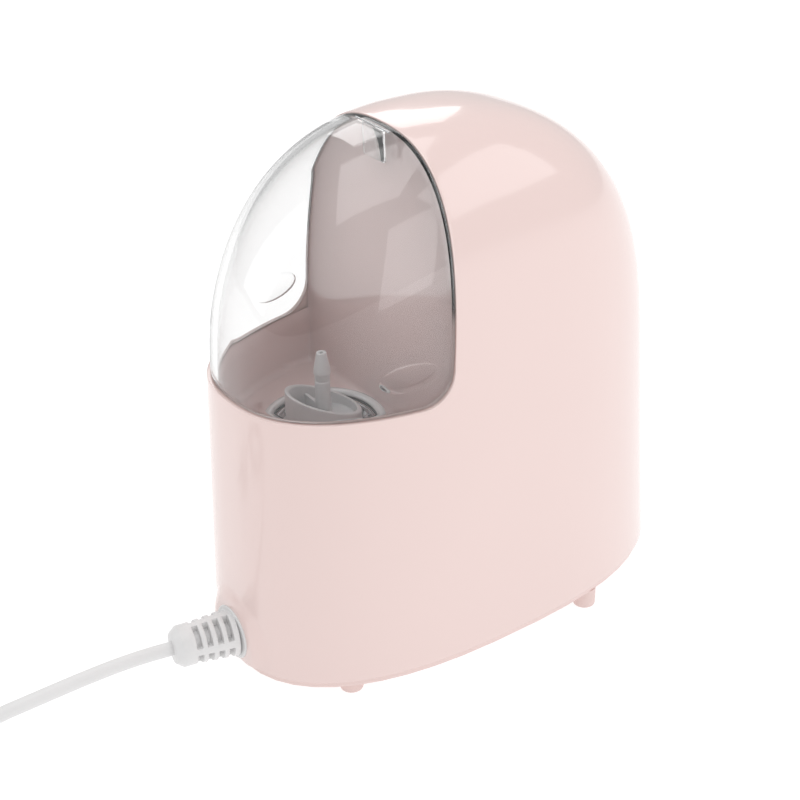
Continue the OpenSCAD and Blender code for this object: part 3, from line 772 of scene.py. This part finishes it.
class DUST_OT_chamber(bpy.types.Operator):
    """Makes the chamber in one skin: its floor, low wall and bulkhead, with the seat for the ring"""

    bl_idname = "dust.chamber"
    bl_label = "Chamber"

    def execute(self, context):
        body = get_body(context)
        s, looks, intake = settings(context, "body", "looks", "intake")
        middle = -s.length / 2 + intake.back
        fillet = 2.5 * MM

        def inset(z):
            t = np.clip((z - s.rim + 5 * MM) / (7 * MM), 0, 1)
            return s.wall + 1.85 * MM - 1.5 * MM * t * t * (3 - 2 * t)

        def half(z):
            """Half the chamber's width at the opening's upright edge."""
            start = np.stack([0 * z, body.edge_y(z), z], -1)
            return body.reach(start, np.tile([1.0, 0, 0], (len(z), 1)), inset)

        def bulge(share):
            """How far the bulkhead stands back at this share of its half width."""
            return s.bulkhead * (1 - np.clip(share, 0, 1) ** 7) ** (1 / 2.2)

        def reach_at(angle, z):
            way = np.stack([np.cos(angle), np.sin(angle), 0 * angle], -1)
            start = np.stack([0 * angle, middle + 0 * angle, z], -1)
            wide = half(z)
            low, high = np.zeros(len(angle)), np.full(len(angle), 0.12)
            for _ in range(28):
                trial = (low + high) / 2
                p = start + way * trial[:, None]
                past = p[:, 1] - body.edge_y(z)
                share = np.abs(p[:, 0]) / wide
                out = np.where(past > 0, (share > 1) | (past > bulge(share)), body.beyond(p, inset))
                low, high = np.where(out, low, trial), np.where(out, trial, high)
            return start, way, low

        def round_(u):
            return u * 2 * math.pi - math.pi / 2

        def wall(u, v):
            angle = round_(u)
            behind = np.clip(np.sin(angle) * 4 - 0.8, 0, 1)
            top = s.rim - 0.4 * MM * (1 - behind)
            arc = np.clip(v * 2 - 1, 0, 1) * math.pi / 2
            z = np.where(
                v < 0.5, top - 2 * v * (top - s.floor - fillet), s.floor + fillet * (1 - np.sin(arc))
            )
            start, way, far = reach_at(angle, z)
            return start + way * (far - fillet * (1 - np.cos(arc)))[:, None]

        def flat(u, v):
            start, way, far = reach_at(round_(u), s.floor + 0 * u)
            return start + way * ((far - fillet) * (1 - v) + intake.seat * v)[:, None]

        def well(u, v):
            r = np.interp(v, [0, 0.5, 1], [intake.seat, intake.seat, intake.seat - 2.5 * MM])
            z = np.interp(v, [0, 0.5, 1], [s.floor, s.floor - 3 * MM, s.floor - 3 * MM])
            return np.stack([r * np.cos(round_(u)), middle + r * np.sin(round_(u)), z], -1)

        start = np.array([0, body.edge_y(s.rim), s.rim])

        def arch(u, v):
            way = fan_way(0 * u, u * math.pi)
            far = body.reach(start, way, inset)
            share = 1 - (1 - v) ** 2
            p = start + way * (far * share)[:, None]
            p[:, 1] += bulge(np.abs(p[:, 0]) / half(p[:, 2]) * np.where(v < 1, 1, 1.01))
            return p

        bm = bmesh.new()
        sheet(bm, 360, 28, wall)
        sheet(bm, 360, 8, flat)
        sheet(bm, 360, 4, well)
        sheet(bm, 120, 40, arch)
        weld(bm)
        chamber = finish(
            bm, "chamber_skin", glossy_plastic("chamber_gloss", looks.chamber, 0.14), HOUSING,
            ["chamber_tray"], smooth=40, tidy=False,
        )
        point_to(chamber, Vector((0, middle, s.rim + 10 * MM)))
        return {"FINISHED"}


def point_to(piece, target):
    """Turns an open skin's faces so that they look towards a point."""
    bm = bmesh.new()
    bm.from_mesh(piece.data)
    wrong = [f for f in bm.faces if f.normal.dot(target - f.calc_center_median()) < 0]
    bmesh.ops.reverse_faces(bm, faces=wrong)
    bm.to_mesh(piece.data)
    bm.free()


# ---- clear cover


def cover_inset(body, more):
    band = 22 * MM
    rim = body.s.rim

    def inset(z):
        return 0.3 * MM + 0.9 * MM * np.clip((rim + band - z) / band, 0, 1) + more

    return inset


@once
def cover_edge(name, tint, low, high):
    """The cover's edge, painted: pale like its seat low down, and above a height near-black painted
    shade, standing in for the dark refraction where the edge is seen end on.
    """
    f = Finish(name)
    height = f.node("ShaderNodeSeparateXYZ", None, {0: f.place()}, 2)
    step = f.node(
        "ShaderNodeMapRange",
        {"interpolation_type": "SMOOTHSTEP"},
        {"Value": height, "From Min": low, "From Max": high},
    )
    shade = f.noise(60, 2, 0.5)
    pale = f.blend(shade, rgba(tint, 0.96), rgba(tint, 1.0))
    # Painted shade: above the given height the edge goes near black, standing in for the dark refraction
    # of the clear edge.
    base = f.blend(step, pale, (0.012, 0.013, 0.013, 1))
    return f.surface(base_color=base, roughness=shade * 0.05 + 0.18)


class DUST_OT_cover(bpy.types.Operator):
    """Makes the clear cover with its finger dishes and top lug, and finishes its hinge pin"""

    bl_idname = "dust.cover"
    bl_label = "Clear cover"

    def execute(self, context):
        body = get_body(context)
        s, cover, looks = settings(context, "body", "cover", "looks")
        gap = cover.gap
        start = Vector((0, body.corner.y - gap * 1.002 + math.tan(LEAN) * gap, s.rim + gap))
        radius = s.corner - gap
        dish = (body.corner.y - 16.5 * MM, s.rim + 14 * MM)

        def skin(inset, dished, rows):
            turns = np.linspace(0, FRONT_TURN, rows + 1)
            swings = fillet_swing(body, start, turns, radius, inset)

            def place(u, v):
                turn = v * FRONT_TURN
                first = np.interp(turn, turns, swings)
                p = body.hit(start, fan_way(turn, first + u * (math.pi - 2 * first)), inset)
                if dished:
                    along = (p[:, 1] - dish[0]) / cover.dish_long
                    up = (p[:, 2] - dish[1]) / cover.dish_short
                    inside = np.clip(1 - along**2 - up**2, 0, 1)
                    inside = np.where(np.abs(p[:, 0]) > 25 * MM, inside, 0)
                    deep = cover.dish * inside**0.6 * (1 + 0.35 * np.clip(up, -1, 1))
                    p[:, 0] -= np.sign(p[:, 0]) * deep
                return p

            return place

        bm = bmesh.new()
        outer = sheet(bm, 320, 150, skin(cover_inset(body, 0), True, 150))
        inner = sheet(bm, 320, 60, skin(cover_inset(body, cover.wall), False, 60))
        rim = bmesh.ops.bridge_loops(bm, edges=rim_edges(outer) + rim_edges(inner))["faces"]
        # The cover's rim faces take the second finish, which carries the painted shade of the edge.
        for f in rim:
            f.material_index = 1
        face_outwards(bm)
        round_edges(bm, 0.3 * MM, 2, 55)
        clear = clear_plastic("clear_cover")
        hood = finish(bm, "clear_hood", clear, COVER, ["clear_cover"], smooth=60)
        # Edge finish with painted shade: near black from 28 to 38 mm above the rim upward, standing in
        # for refraction.
        edge = cover_edge("cover_edge", looks.pink, s.rim + 28 * MM, s.rim + 38 * MM)
        hood.data.materials.append(edge)

        bm = bmesh.new()
        top = body.crown(body.edge_y(s.height) - 2.9 * MM, cover_inset(body, cover.wall))
        y = body.edge_y(s.height - 12 * MM) - 2.2 * MM
        half = cover.tongue / 2
        box(bm, (-half, y, top - 10.9 * MM), (half, y + 1.0 * MM, top + 0.3 * MM))
        round_edges(bm, 0.25 * MM, 2)
        finish(bm, "cover_lug", clear, COVER, ())
        dress("hinge_pin", polished_steel("screw_steel", (0.62, 0.62, 0.63)))
        return {"FINISHED"}


# ---- intake


class DUST_OT_intake(bpy.types.Operator):
    """Makes the intake ring, the steel guard, the scoop nozzle and the hose spigot"""

    bl_idname = "dust.intake"
    bl_label = "Intake and nozzle"

    def execute(self, context):
        s, intake, looks = settings(context, "body", "intake", "looks")
        axis = Matrix.Translation((0, -s.length / 2 + intake.back, 0))
        floor = s.floor

        bm = bmesh.new()
        low, top = floor + 0.9 * MM, floor + 2.7 * MM
        loop = [
            (intake.bore, low), (intake.ring, low), (intake.ring, top - 0.5 * MM),
            (intake.ring - 1.2 * MM, top), (intake.bore + 0.9 * MM, top), (intake.bore, top - 0.9 * MM),
        ]
        lathe(bm, rounded(loop, 0.4 * MM, 3, True), 144, axis)
        finish(
            bm, "intake_ring_trim", glossy_plastic("light_grey_gloss", looks.light_grey, 0.2), RING,
            ["intake_ring"], smooth=0,
        )

        bm = bmesh.new()
        seat = floor - 3 * MM
        loop = [
            (1.2 * MM, seat), (19.6 * MM, seat), (19.6 * MM, seat + 3.2 * MM),
            (18.9 * MM, seat + 3.2 * MM), (18.2 * MM, seat + 1.9 * MM), (16.6 * MM, seat + 1.2 * MM),
            (15.2 * MM, seat + 1.7 * MM),
            (14.5 * MM, seat + 1.75 * MM), (3 * MM, seat + 1.75 * MM), (3 * MM, seat + 3.9 * MM),
            (1.2 * MM, seat + 3.9 * MM),
        ]
        lathe(bm, rounded(loop, 0.5 * MM, 3, True), 144, axis)
        steel = polished_steel("guard_steel", (0.45, 0.44, 0.45))
        finish(bm, "guard_bowl", steel, HOUSING, ["intake_guard"], smooth=50)

        bm = bmesh.new()
        vanes = 26
        for i in range(vanes):
            low = (-0.35 * MM, 14.8 * MM, seat + 0.9 * MM)
            vane = box(bm, low, (0.35 * MM, 19.1 * MM, seat + 2.5 * MM))
            for middle, turn in ((17 * MM, math.radians(42)), (0, i * math.tau / vanes)):
                turned = Matrix.Rotation(turn, 3, "Z")
                bmesh.ops.rotate(bm, verts=vane, cent=(0, middle, 0), matrix=turned)
        round_edges(bm, 0.2 * MM, 2)
        move(bm, axis)
        finish(bm, "guard_vanes", steel, HOUSING, ())

        self.cup(context, axis)
        self.spigot(context, axis)
        dress("ring_gasket", soft_rubber("gasket_rubber", (0.05, 0.05, 0.05)))
        return {"FINISHED"}

    def cup(self, context, axis):
        s, intake, looks = settings(context, "body", "intake", "looks")
        bottom = s.floor - 1.15 * MM
        inside = bottom + 2.6 * MM
        mouth = s.floor + 10.2 * MM
        outer, inner = intake.cup, intake.cup - intake.cup_wall
        bm = bmesh.new()
        profile = rounded(
            [
                (3.05 * MM, bottom), (outer, bottom), (outer, mouth), (inner, mouth), (inner, inside),
                (3.05 * MM, inside),
            ],
            0.55 * MM, 4, True,
        )
        lathe(bm, profile, 128)
        walls = [v for v in bm.verts if v.co.z > mouth - 1.5 * MM]
        for v in walls:
            v.co.z += -v.co.y * intake.slope
        for side in (-1, 1):
            box(
                bm, (min(side * 4.0, side * 12.9) * MM, -0.6 * MM, inside - 0.3 * MM),
                (max(side * 4.0, side * 12.9) * MM, 0.6 * MM, inside + 5.5 * MM),
            )
        move(bm, axis)
        grey = satin_plastic("grey_satin", looks.grey, 0.3, 2400.0, 0.06)
        finish(bm, "scoop_cup", grey, NOZZLE, ["nozzle_cup"], smooth=40)

    def spigot(self, context, axis):
        s, intake, looks = settings(context, "body", "intake", "looks")
        z = s.floor
        base = z - 1.15 * MM + 2.6 * MM
        bore, stem = 0.8 * MM, intake.stem
        profile = [
            (bore, base), (stem + 0.3 * MM, base), (stem + 0.3 * MM, z + 9.3 * MM),
            (stem + 0.2 * MM, z + 10.5 * MM),
            (stem, z + 11.2 * MM), (stem, z + 18.2 * MM), (stem - 0.25 * MM, z + 18.4 * MM),
            (stem - 0.25 * MM, z + 19.0 * MM), (stem, z + 19.2 * MM), (stem, z + 21.2 * MM),
            (3.3 * MM, z + 21.6 * MM), (3.2 * MM, z + 22.4 * MM), (2.0 * MM, z + 29.4 * MM),
            (1.9 * MM, z + 30.05 * MM), (bore, z + 30.05 * MM),
        ]
        bm = bmesh.new()
        lathe(bm, rounded(profile, 0.22 * MM, 2, True), 72, axis)
        grey = satin_plastic("grey_satin", looks.grey, 0.3, 2400.0, 0.06)
        finish(bm, "barbed_spigot", grey, NOZZLE, ["hose_spigot"], smooth=40)


# ---- lead

COIL_CENTRE = (-58.5 * MM, -285 * MM)
LAY = 3.3 * MM
RELIEF_TURN = math.radians(-11)
ROUTE = [
    (-6.7, -135, 21.5), (-7.8, -145, 21.5), (-8.4, -156, 21.4), (-8.6, -168, 21.3), (-8.8, -180, 21),
    (-9.4, -191, 20.3), (-10.5, -202, 18.2), (-12, -213, 14.8), (-13.7, -223, 11), (-15.4, -233, 7.5),
    (-17, -243, 4.9), (-18.2, -253, 3.6), (-18.8, -262, 3.3), (-18.9, -270, 3.3),
]
TAIL = [(-95, -265, 9), (-95.5, -257, 8.9), (-95.8, -249, 8.5), (-95.8, -241, 8)]


def front_face(context):
    z = context.scene.dust_cord.exit_height
    return get_body(context).outline(np.array([-math.pi / 2]), z, 0.0)[0][1] - 0.8 * MM


def lead_exit(context):
    cord = context.scene.dust_cord
    return (
        cord.relief * math.sin(RELIEF_TURN),
        front_face(context) - cord.relief * math.cos(RELIEF_TURN),
        cord.exit_height,
    )


class DUST_OT_lead(bpy.types.Operator):
    """Makes the mains lead: its free stretch, its coil and its tail, with the tie"""

    bl_idname = "dust.lead"
    bl_label = "Mains lead"

    def execute(self, context):
        cord, looks = settings(context, "cord", "looks")
        exit_ = lead_exit(context)
        points = [exit_] + mm(*ROUTE)
        per_turn, half = 16, 3
        count = int(cord.turns * per_turn)
        for i in range(count + 1):
            t = i / per_turn
            r = cord.coil_radius - cord.coil_step * (t if t < half else 2 * half - t)
            lift = min(max((t - half + 0.12) / 0.28, 0), 1)
            z = LAY + cord.coil_step * lift * lift * (3 - 2 * lift)
            a = -t * math.tau
            points.append((COIL_CENTRE[0] + r * math.cos(a), COIL_CENTRE[1] + r * math.sin(a), z))
        points += mm(*TAIL)
        curve = bpy.data.curves.new("mains_lead", "CURVE")
        curve.dimensions = "3D"
        curve.bevel_depth = cord.diameter / 2
        curve.bevel_resolution = 5
        curve.resolution_u = 8
        curve.use_fill_caps = True
        spline = curve.splines.new("BEZIER")
        spline.bezier_points.add(len(points) - 1)
        for knot, p in zip(spline.bezier_points, points):
            knot.co = p
            knot.handle_left_type = knot.handle_right_type = "AUTO"
        lead = bpy.data.objects.new("mains_lead", curve)
        context.scene.collection.objects.link(lead)
        curve.materials.append(lead_jacket("lead_jacket", looks.cord))
        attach(lead, HOUSING)
        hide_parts("power_cord", "cord_coil", "cord_tail")
        length = sum(math.dist(a, b) for a, b in zip(*[self.trace(lead)[k:] for k in (0, 1)]))
        tie = self.tie(context)
        make_plug(context)
        return {"FINISHED"}

    def trace(self, lead):
        """Points along the curve's middle line."""
        line = lead.data.copy()
        line.bevel_depth = 0
        flat = bpy.data.objects.new("lead_line", line)
        bpy.context.scene.collection.objects.link(flat)
        mesh = flat.to_mesh()
        points = [tuple(v.co) for v in mesh.vertices]
        flat.to_mesh_clear()
        bpy.data.objects.remove(flat)
        bpy.data.curves.remove(line)
        return points

    def tie(self, context):
        cord = context.scene.dust_cord
        outer = cord.coil_radius + cord.diameter / 2 + 0.5 * MM
        inner = cord.coil_radius - 3 * cord.coil_step - cord.diameter / 2 - 0.5 * MM
        low, high = 0.15 * MM, LAY + cord.coil_step + cord.diameter / 2 + 0.5 * MM
        loop = rounded([(outer, low), (outer, high), (inner, high), (inner, low)], 3.2 * MM, 6, True)
        bm = bmesh.new()
        verts = [bm.verts.new((0, -r, z)) for r, z in loop[:-1]]
        edges = [bm.edges.new((verts[i - 1], verts[i])) for i in range(len(verts))]
        made = bmesh.ops.extrude_edge_only(bm, edges=edges)["geom"]
        width = 9 * MM
        bmesh.ops.translate(bm, verts=new_verts(made), vec=(width, 0, 0))
        place = (COIL_CENTRE[0] - width / 2, COIL_CENTRE[1], 0)
        bmesh.ops.translate(bm, verts=bm.verts[:], vec=place)
        face_outwards(bm)
        tie = finish(
            bm, "coil_strap", woven_strap("strap_felt", (0.05, 0.05, 0.055)), HOUSING, ["cord_tie"],
            tidy=False,
        )
        wall = tie.modifiers.new("thickness", "SOLIDIFY")
        wall.thickness, wall.offset = 0.5 * MM, 0
        return tie


class DUST_OT_relief(bpy.types.Operator):
    """Makes the strain relief: a flange and a slotted, tapered sleeve with a solid collar"""

    bl_idname = "dust.relief"
    bl_label = "Strain relief"

    def execute(self, context):
        cord, looks = settings(context, "cord", "looks")
        y = front_face(context)
        length, wide, collar = cord.relief, cord.flange - 1.4 * MM, 8.2 * MM
        rows = 4
        pitch = (length - 8.2 * MM) / rows
        taper = lambda t: wide + (collar - wide) * min(t / (length - 7 * MM), 1)
        marks, slots = [0.0], []
        for i in range(rows):
            low = 2.2 * MM + i * pitch
            marks += [low, low + pitch * 0.55]
            slots.append((low, low + pitch * 0.55))
        bm = bmesh.new()
        bore = cord.diameter / 2 - 0.1 * MM
        profile = [(taper(t), t) for t in marks]
        profile += [
            (collar, length - 6.6 * MM), (collar, length - 2.9 * MM),
            (collar - 0.25 * MM, length - 2.5 * MM), (collar - 2.0 * MM, length - 0.25 * MM),
            (collar - 2.4 * MM, length), (bore, length), (bore, 0), (wide, 0),
        ]
        lathe(bm, profile, 72)
        faces = []
        for f in bm.faces:
            c = f.calc_center_median()
            angle = math.degrees(math.atan2(c.y, c.x)) % 90
            if math.hypot(c.x, c.y) > 6 * MM and abs(angle - 50) < 35:
                if any(a < c.z < b for a, b in slots):
                    faces.append(f)
        face_outwards(bm)
        made = bmesh.ops.extrude_face_region(bm, geom=faces)["geom"]
        bmesh.ops.delete(bm, geom=faces, context="FACES_ONLY")
        for v in new_verts(made):
            r = math.hypot(v.co.x, v.co.y)
            v.co.x *= 5.4 * MM / r
            v.co.y *= 5.4 * MM / r
        face_outwards(bm)

        def outer(e):
            return (e.verts[0].co.xy.length + e.verts[1].co.xy.length) / 2 > 6.5 * MM

        round_edges(bm, 0.28 * MM, 2, 38, outer)
        move(bm, out_of_front(y, cord.exit_height, RELIEF_TURN))
        jacket = lead_jacket("relief_jacket", looks.cord)
        finish(bm, "relief_sleeve", jacket, HOUSING, ["strain_relief"], smooth=40)

        bm = bmesh.new()
        low, top = -2.4 * MM, 0.8 * MM
        loop = [(bore, low), (cord.flange, low), (cord.flange, top), (bore, top)]
        lathe(bm, rounded(loop, 0.5 * MM, 3, True), 96, out_of_front(y, cord.exit_height))
        finish(bm, "relief_flange", jacket, HOUSING, (), smooth=40)
        return {"FINISHED"}


def make_plug(context):
    """The plug's moulded body with grip ribs, and its two pins."""
    looks = context.scene.dust_looks
    at = Matrix.Translation((-95.8 * MM, -241 * MM, 8 * MM)) @ Matrix.Rotation(-math.pi / 2, 4, "X")
    bm = bmesh.new()
    block = bmesh.ops.create_cube(bm, size=1)["verts"]
    for v in block:
        x, y, z = v.co
        v.co = Vector((x * 25.6 * MM, y * 14.6 * MM, (z + 0.5) * 20.5 * MM + 13.2 * MM))
    back = [f for f in bm.faces if f.normal.z < -0.5]
    made = bmesh.ops.extrude_discrete_faces(bm, faces=back)["faces"]
    for v in {v for f in made for v in f.verts}:
        v.co = Vector((v.co.x * 0.42, v.co.y * 0.72, 9.4 * MM))
    round_edges(bm, 2.4 * MM, 5, 20)
    weld(bm)
    face_outwards(bm)
    move(bm, at)
    jacket = lead_jacket("plug_jacket", looks.cord)
    moulding = finish(bm, "plug_moulding", jacket, HOUSING, ["plug_body"], smooth=60)

    bm = bmesh.new()
    profile = [(2.6 * MM, 0)]
    for i in range(4):
        z = (0.4 + i * 2.3) * MM
        r = (4.1 + 0.35 * i) * MM
        groove = r - 0.8 * MM
        profile += [(r, z), (r, z + 1.5 * MM), (groove, z + 1.55 * MM), (groove, z + 2.25 * MM)]
    profile += mm((5.3, 9.4), (5.3, 11), (2.6, 11), (2.6, 0))
    lathe(bm, profile, 48)
    face_outwards(bm)
    round_edges(bm, 0.15 * MM, 2, 50)
    move(bm, at)
    grommet = finish(bm, "plug_grommet", jacket, HOUSING, (), smooth=40)

    bm = bmesh.new()
    for side in (-9.5, 9.5):
        one = bmesh.new()
        loop = mm((0, 30), (2, 30), (2, 52), (1.2, 52.95), (0, 52.95))
        lathe(one, rounded(loop, 0.7 * MM, 3), 32, Matrix.Translation((side * MM, 0, 0)))
        mesh = bpy.data.meshes.new("pin")
        one.to_mesh(mesh)
        one.free()
        bm.from_mesh(mesh)
        bpy.data.meshes.remove(mesh)
    move(bm, at)
    pins = finish(
        bm, "plug_contact_pins", polished_steel("pin_nickel", (0.72, 0.71, 0.68), 0.2), HOUSING,
        ["plug_pins"], smooth=40,
    )
    return [moulding, grommet, pins]


# ---- button and inner pieces


class DUST_OT_button(bpy.types.Operator):
    """Makes the rear push button with its bezel"""

    bl_idname = "dust.button"
    bl_label = "Rear button"

    def execute(self, context):
        looks = context.scene.dust_looks
        low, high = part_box("button_bezel")
        middle = (low[2] + high[2]) / 2
        y = high[1] - 2 * MM
        bm = bmesh.new()
        loop = mm(
            (8.3, -6), (9.6, -6), (9.6, 0.05), (11, 0.05), (11, 1.1), (10, 2), (8.9, 2), (8.3, 1.2)
        )
        lathe(bm, rounded(loop, 0.4 * MM, 3, True), 96, out_of_rear(y, middle))
        finish(
            bm, "bezel_ring", glossy_plastic("light_grey_gloss", looks.light_grey, 0.2), HOUSING,
            ["button_bezel"], smooth=0,
        )
        bm = bmesh.new()
        loop = mm((0, -7), (2, -7), (2, -4), (8, -4), (8, 3.2), (7.2, 4), (4, 3.75), (0, 3.65))
        lathe(bm, rounded(loop, 0.5 * MM, 3), 96, out_of_rear(y, middle))
        finish(
            bm, "button_cap", satin_plastic("white_satin", (0.80, 0.80, 0.79), 0.3), BUTTON,
            ["power_button"], smooth=50,
        )
        return {"FINISHED"}


class DUST_OT_inside(bpy.types.Operator):
    """Finishes the pieces inside the body"""

    bl_idname = "dust.inside"
    bl_label = "Inner pieces"

    def execute(self, context):
        looks = context.scene.dust_looks
        steel = polished_steel("fitting_steel", (0.6, 0.6, 0.61), 0.2)
        white = satin_plastic("duct_white", (0.78, 0.78, 0.77))
        dark = satin_plastic("dark_satin", (0.03, 0.03, 0.033), 0.42)
        for node in ("motor_shaft", "shaft_bearings", "motor_screws", "button_spring"):
            dress(node, steel)
        for node in ("fan_housing", "exhaust_duct", "motor_bracket", "filter_frame"):
            dress(node, white)
        for node in ("impeller", "motor_endcap", "capacitor", "switch_body", "relief_clip"):
            dress(node, dark)
        dress("motor_can", satin_plastic("motor_zinc", (0.32, 0.33, 0.35), 0.4, 400.0, 0.2))
        dress("filter_pleats", filter_paper("filter_cloth", (0.84, 0.84, 0.81)))
        dress("control_board", circuit_board("board_mask"))
        dress("transformer", taped_winding("winding_tape"))
        dress("terminal_block", satin_plastic("terminal_green", (0.03, 0.30, 0.16), 0.4))
        dress("inner_lead", lead_jacket("lead_jacket", looks.cord))
        return {"FINISHED"}


# ---- stage


def aim(piece, target):
    piece.rotation_euler = (Vector(target) - piece.location).to_track_quat("-Z", "Y").to_euler()


def soft_box(name, place, target, width, height, power):
    data = bpy.data.lights.new(name, "AREA")
    data.shape, data.size, data.size_y, data.energy = "RECTANGLE", width, height, power
    lamp = bpy.data.objects.new(name, data)
    lamp.location = place
    bpy.context.scene.collection.objects.link(lamp)
    aim(lamp, target)


SOFT_BOXES = (  # name, place, width, height, power
    ("top_box", (-0.1, -0.15, 1.5), 1.5, 1.1, 6.5),
    ("left_box", (-0.9, -1.2, 0.75), 0.8, 1.2, 3.5),
    ("back_left_box", (-1.13, 0.58, 1.08), 0.8, 0.55, 3.0),
    ("back_right_box", (0.89, 0.84, 1.14), 1.3, 1.0, 5.0),
    ("right_box", (1.25, 0.0, 0.5), 0.6, 1.0, 2.0),
)


class DUST_OT_camera(bpy.types.Operator):
    """Sets up the camera"""

    bl_idname = "dust.camera"
    bl_label = "Camera"

    def execute(self, context):
        data = bpy.data.cameras.new("camera")
        data.lens, data.sensor_width = 69.61, 36
        data.shift_x, data.shift_y = -0.0419, -0.0546
        data.clip_start, data.clip_end = 0.01, 50
        camera = bpy.data.objects.new("camera", data)
        context.scene.collection.objects.link(camera)
        azimuth, height, away = math.radians(53.44), math.radians(28.0), 0.6119
        target = Vector((0, -2.64 * MM, 112 * MM))
        flat = math.cos(height)
        way = Vector((math.sin(azimuth) * flat, -math.cos(azimuth) * flat, math.sin(height)))
        camera.location = target + away * way
        aim(camera, target)
        context.scene.camera = camera
        return {"FINISHED"}


class DUST_OT_stage(bpy.types.Operator):
    """Makes the plain pale floor, the surroundings and the soft lights"""

    bl_idname = "dust.stage"
    bl_label = "Stage"

    def execute(self, context):
        bm = bmesh.new()
        bmesh.ops.create_grid(bm, x_segments=1, y_segments=1, size=6)
        mesh = bpy.data.meshes.new("floor")
        bm.to_mesh(mesh)
        bm.free()
        floor = bpy.data.objects.new("floor", mesh)
        context.scene.collection.objects.link(floor)
        f = Finish("floor_white")
        shade = f.noise(3, 2, 0.5)
        mesh.materials.append(
            f.surface(
                base_color=f.blend(shade, (0.33, 0.33, 0.33, 1), (0.35, 0.35, 0.35, 1)), roughness=0.9,
                specular_ior_level=0.0, emission_color=(1, 1, 1, 1), emission_strength=0.8,
            )
        )

        world = bpy.data.worlds.new("studio")
        context.scene.world = world
        world.use_nodes = True
        sky = world.node_tree.nodes["Background"].inputs
        sky["Color"].default_value, sky["Strength"].default_value = (1, 1, 1, 1), 0.6
        target = (0, 0, 0.11)
        for lamp in SOFT_BOXES:
            soft_box(*lamp[:2], target, *lamp[2:])
        context.scene.view_settings.view_transform = "Standard"
        context.scene.view_settings.look = "None"
        return {"FINISHED"}


class DUST_PT_panel(bpy.types.Panel):
    """Lists the collector's sizes, colours and pieces"""

    bl_idname = "DUST_PT_panel"
    bl_label = "Dust collector"
    bl_space_type = "VIEW_3D"
    bl_region_type = "UI"
    bl_category = "Dust collector"

    def draw(self, context):
        layout = self.layout
        for group in (getattr(context.scene, key) for key in GROUPS):
            column = layout.column(align=True)
            column.label(text=type(group).__doc__)
            for key in type(group).__annotations__:
                column.prop(group, key)
        for operator in OPERATORS:
            layout.operator(operator.bl_idname)


GROUPS = {
    "dust_body": BodySizes,
    "dust_cover": CoverSizes,
    "dust_intake": IntakeSizes,
    "dust_cord": CordSizes,
    "dust_looks": Looks,
}
OPERATORS = (
    DUST_OT_camera,
    DUST_OT_relief,
    DUST_OT_lead,
    DUST_OT_shell,
    DUST_OT_base,
    DUST_OT_chamber,
    DUST_OT_cover,
    DUST_OT_intake,
    DUST_OT_button,
    DUST_OT_inside,
    DUST_OT_stage,
)


def register():
    for kind in (*GROUPS.values(), *OPERATORS, DUST_PT_panel):
        bpy.utils.register_class(kind)
    for key, kind in GROUPS.items():
        setattr(bpy.types.Scene, key, PointerProperty(type=kind))


def unregister():
    for key in GROUPS:
        delattr(bpy.types.Scene, key)
    for kind in reversed((*GROUPS.values(), *OPERATORS, DUST_PT_panel)):
        bpy.utils.unregister_class(kind)


def main():
    register()
    for operator in OPERATORS:
        group, name = operator.bl_idname.split(".")
        getattr(getattr(bpy.ops, group), name)()


if __name__ == "__main__":
    main()
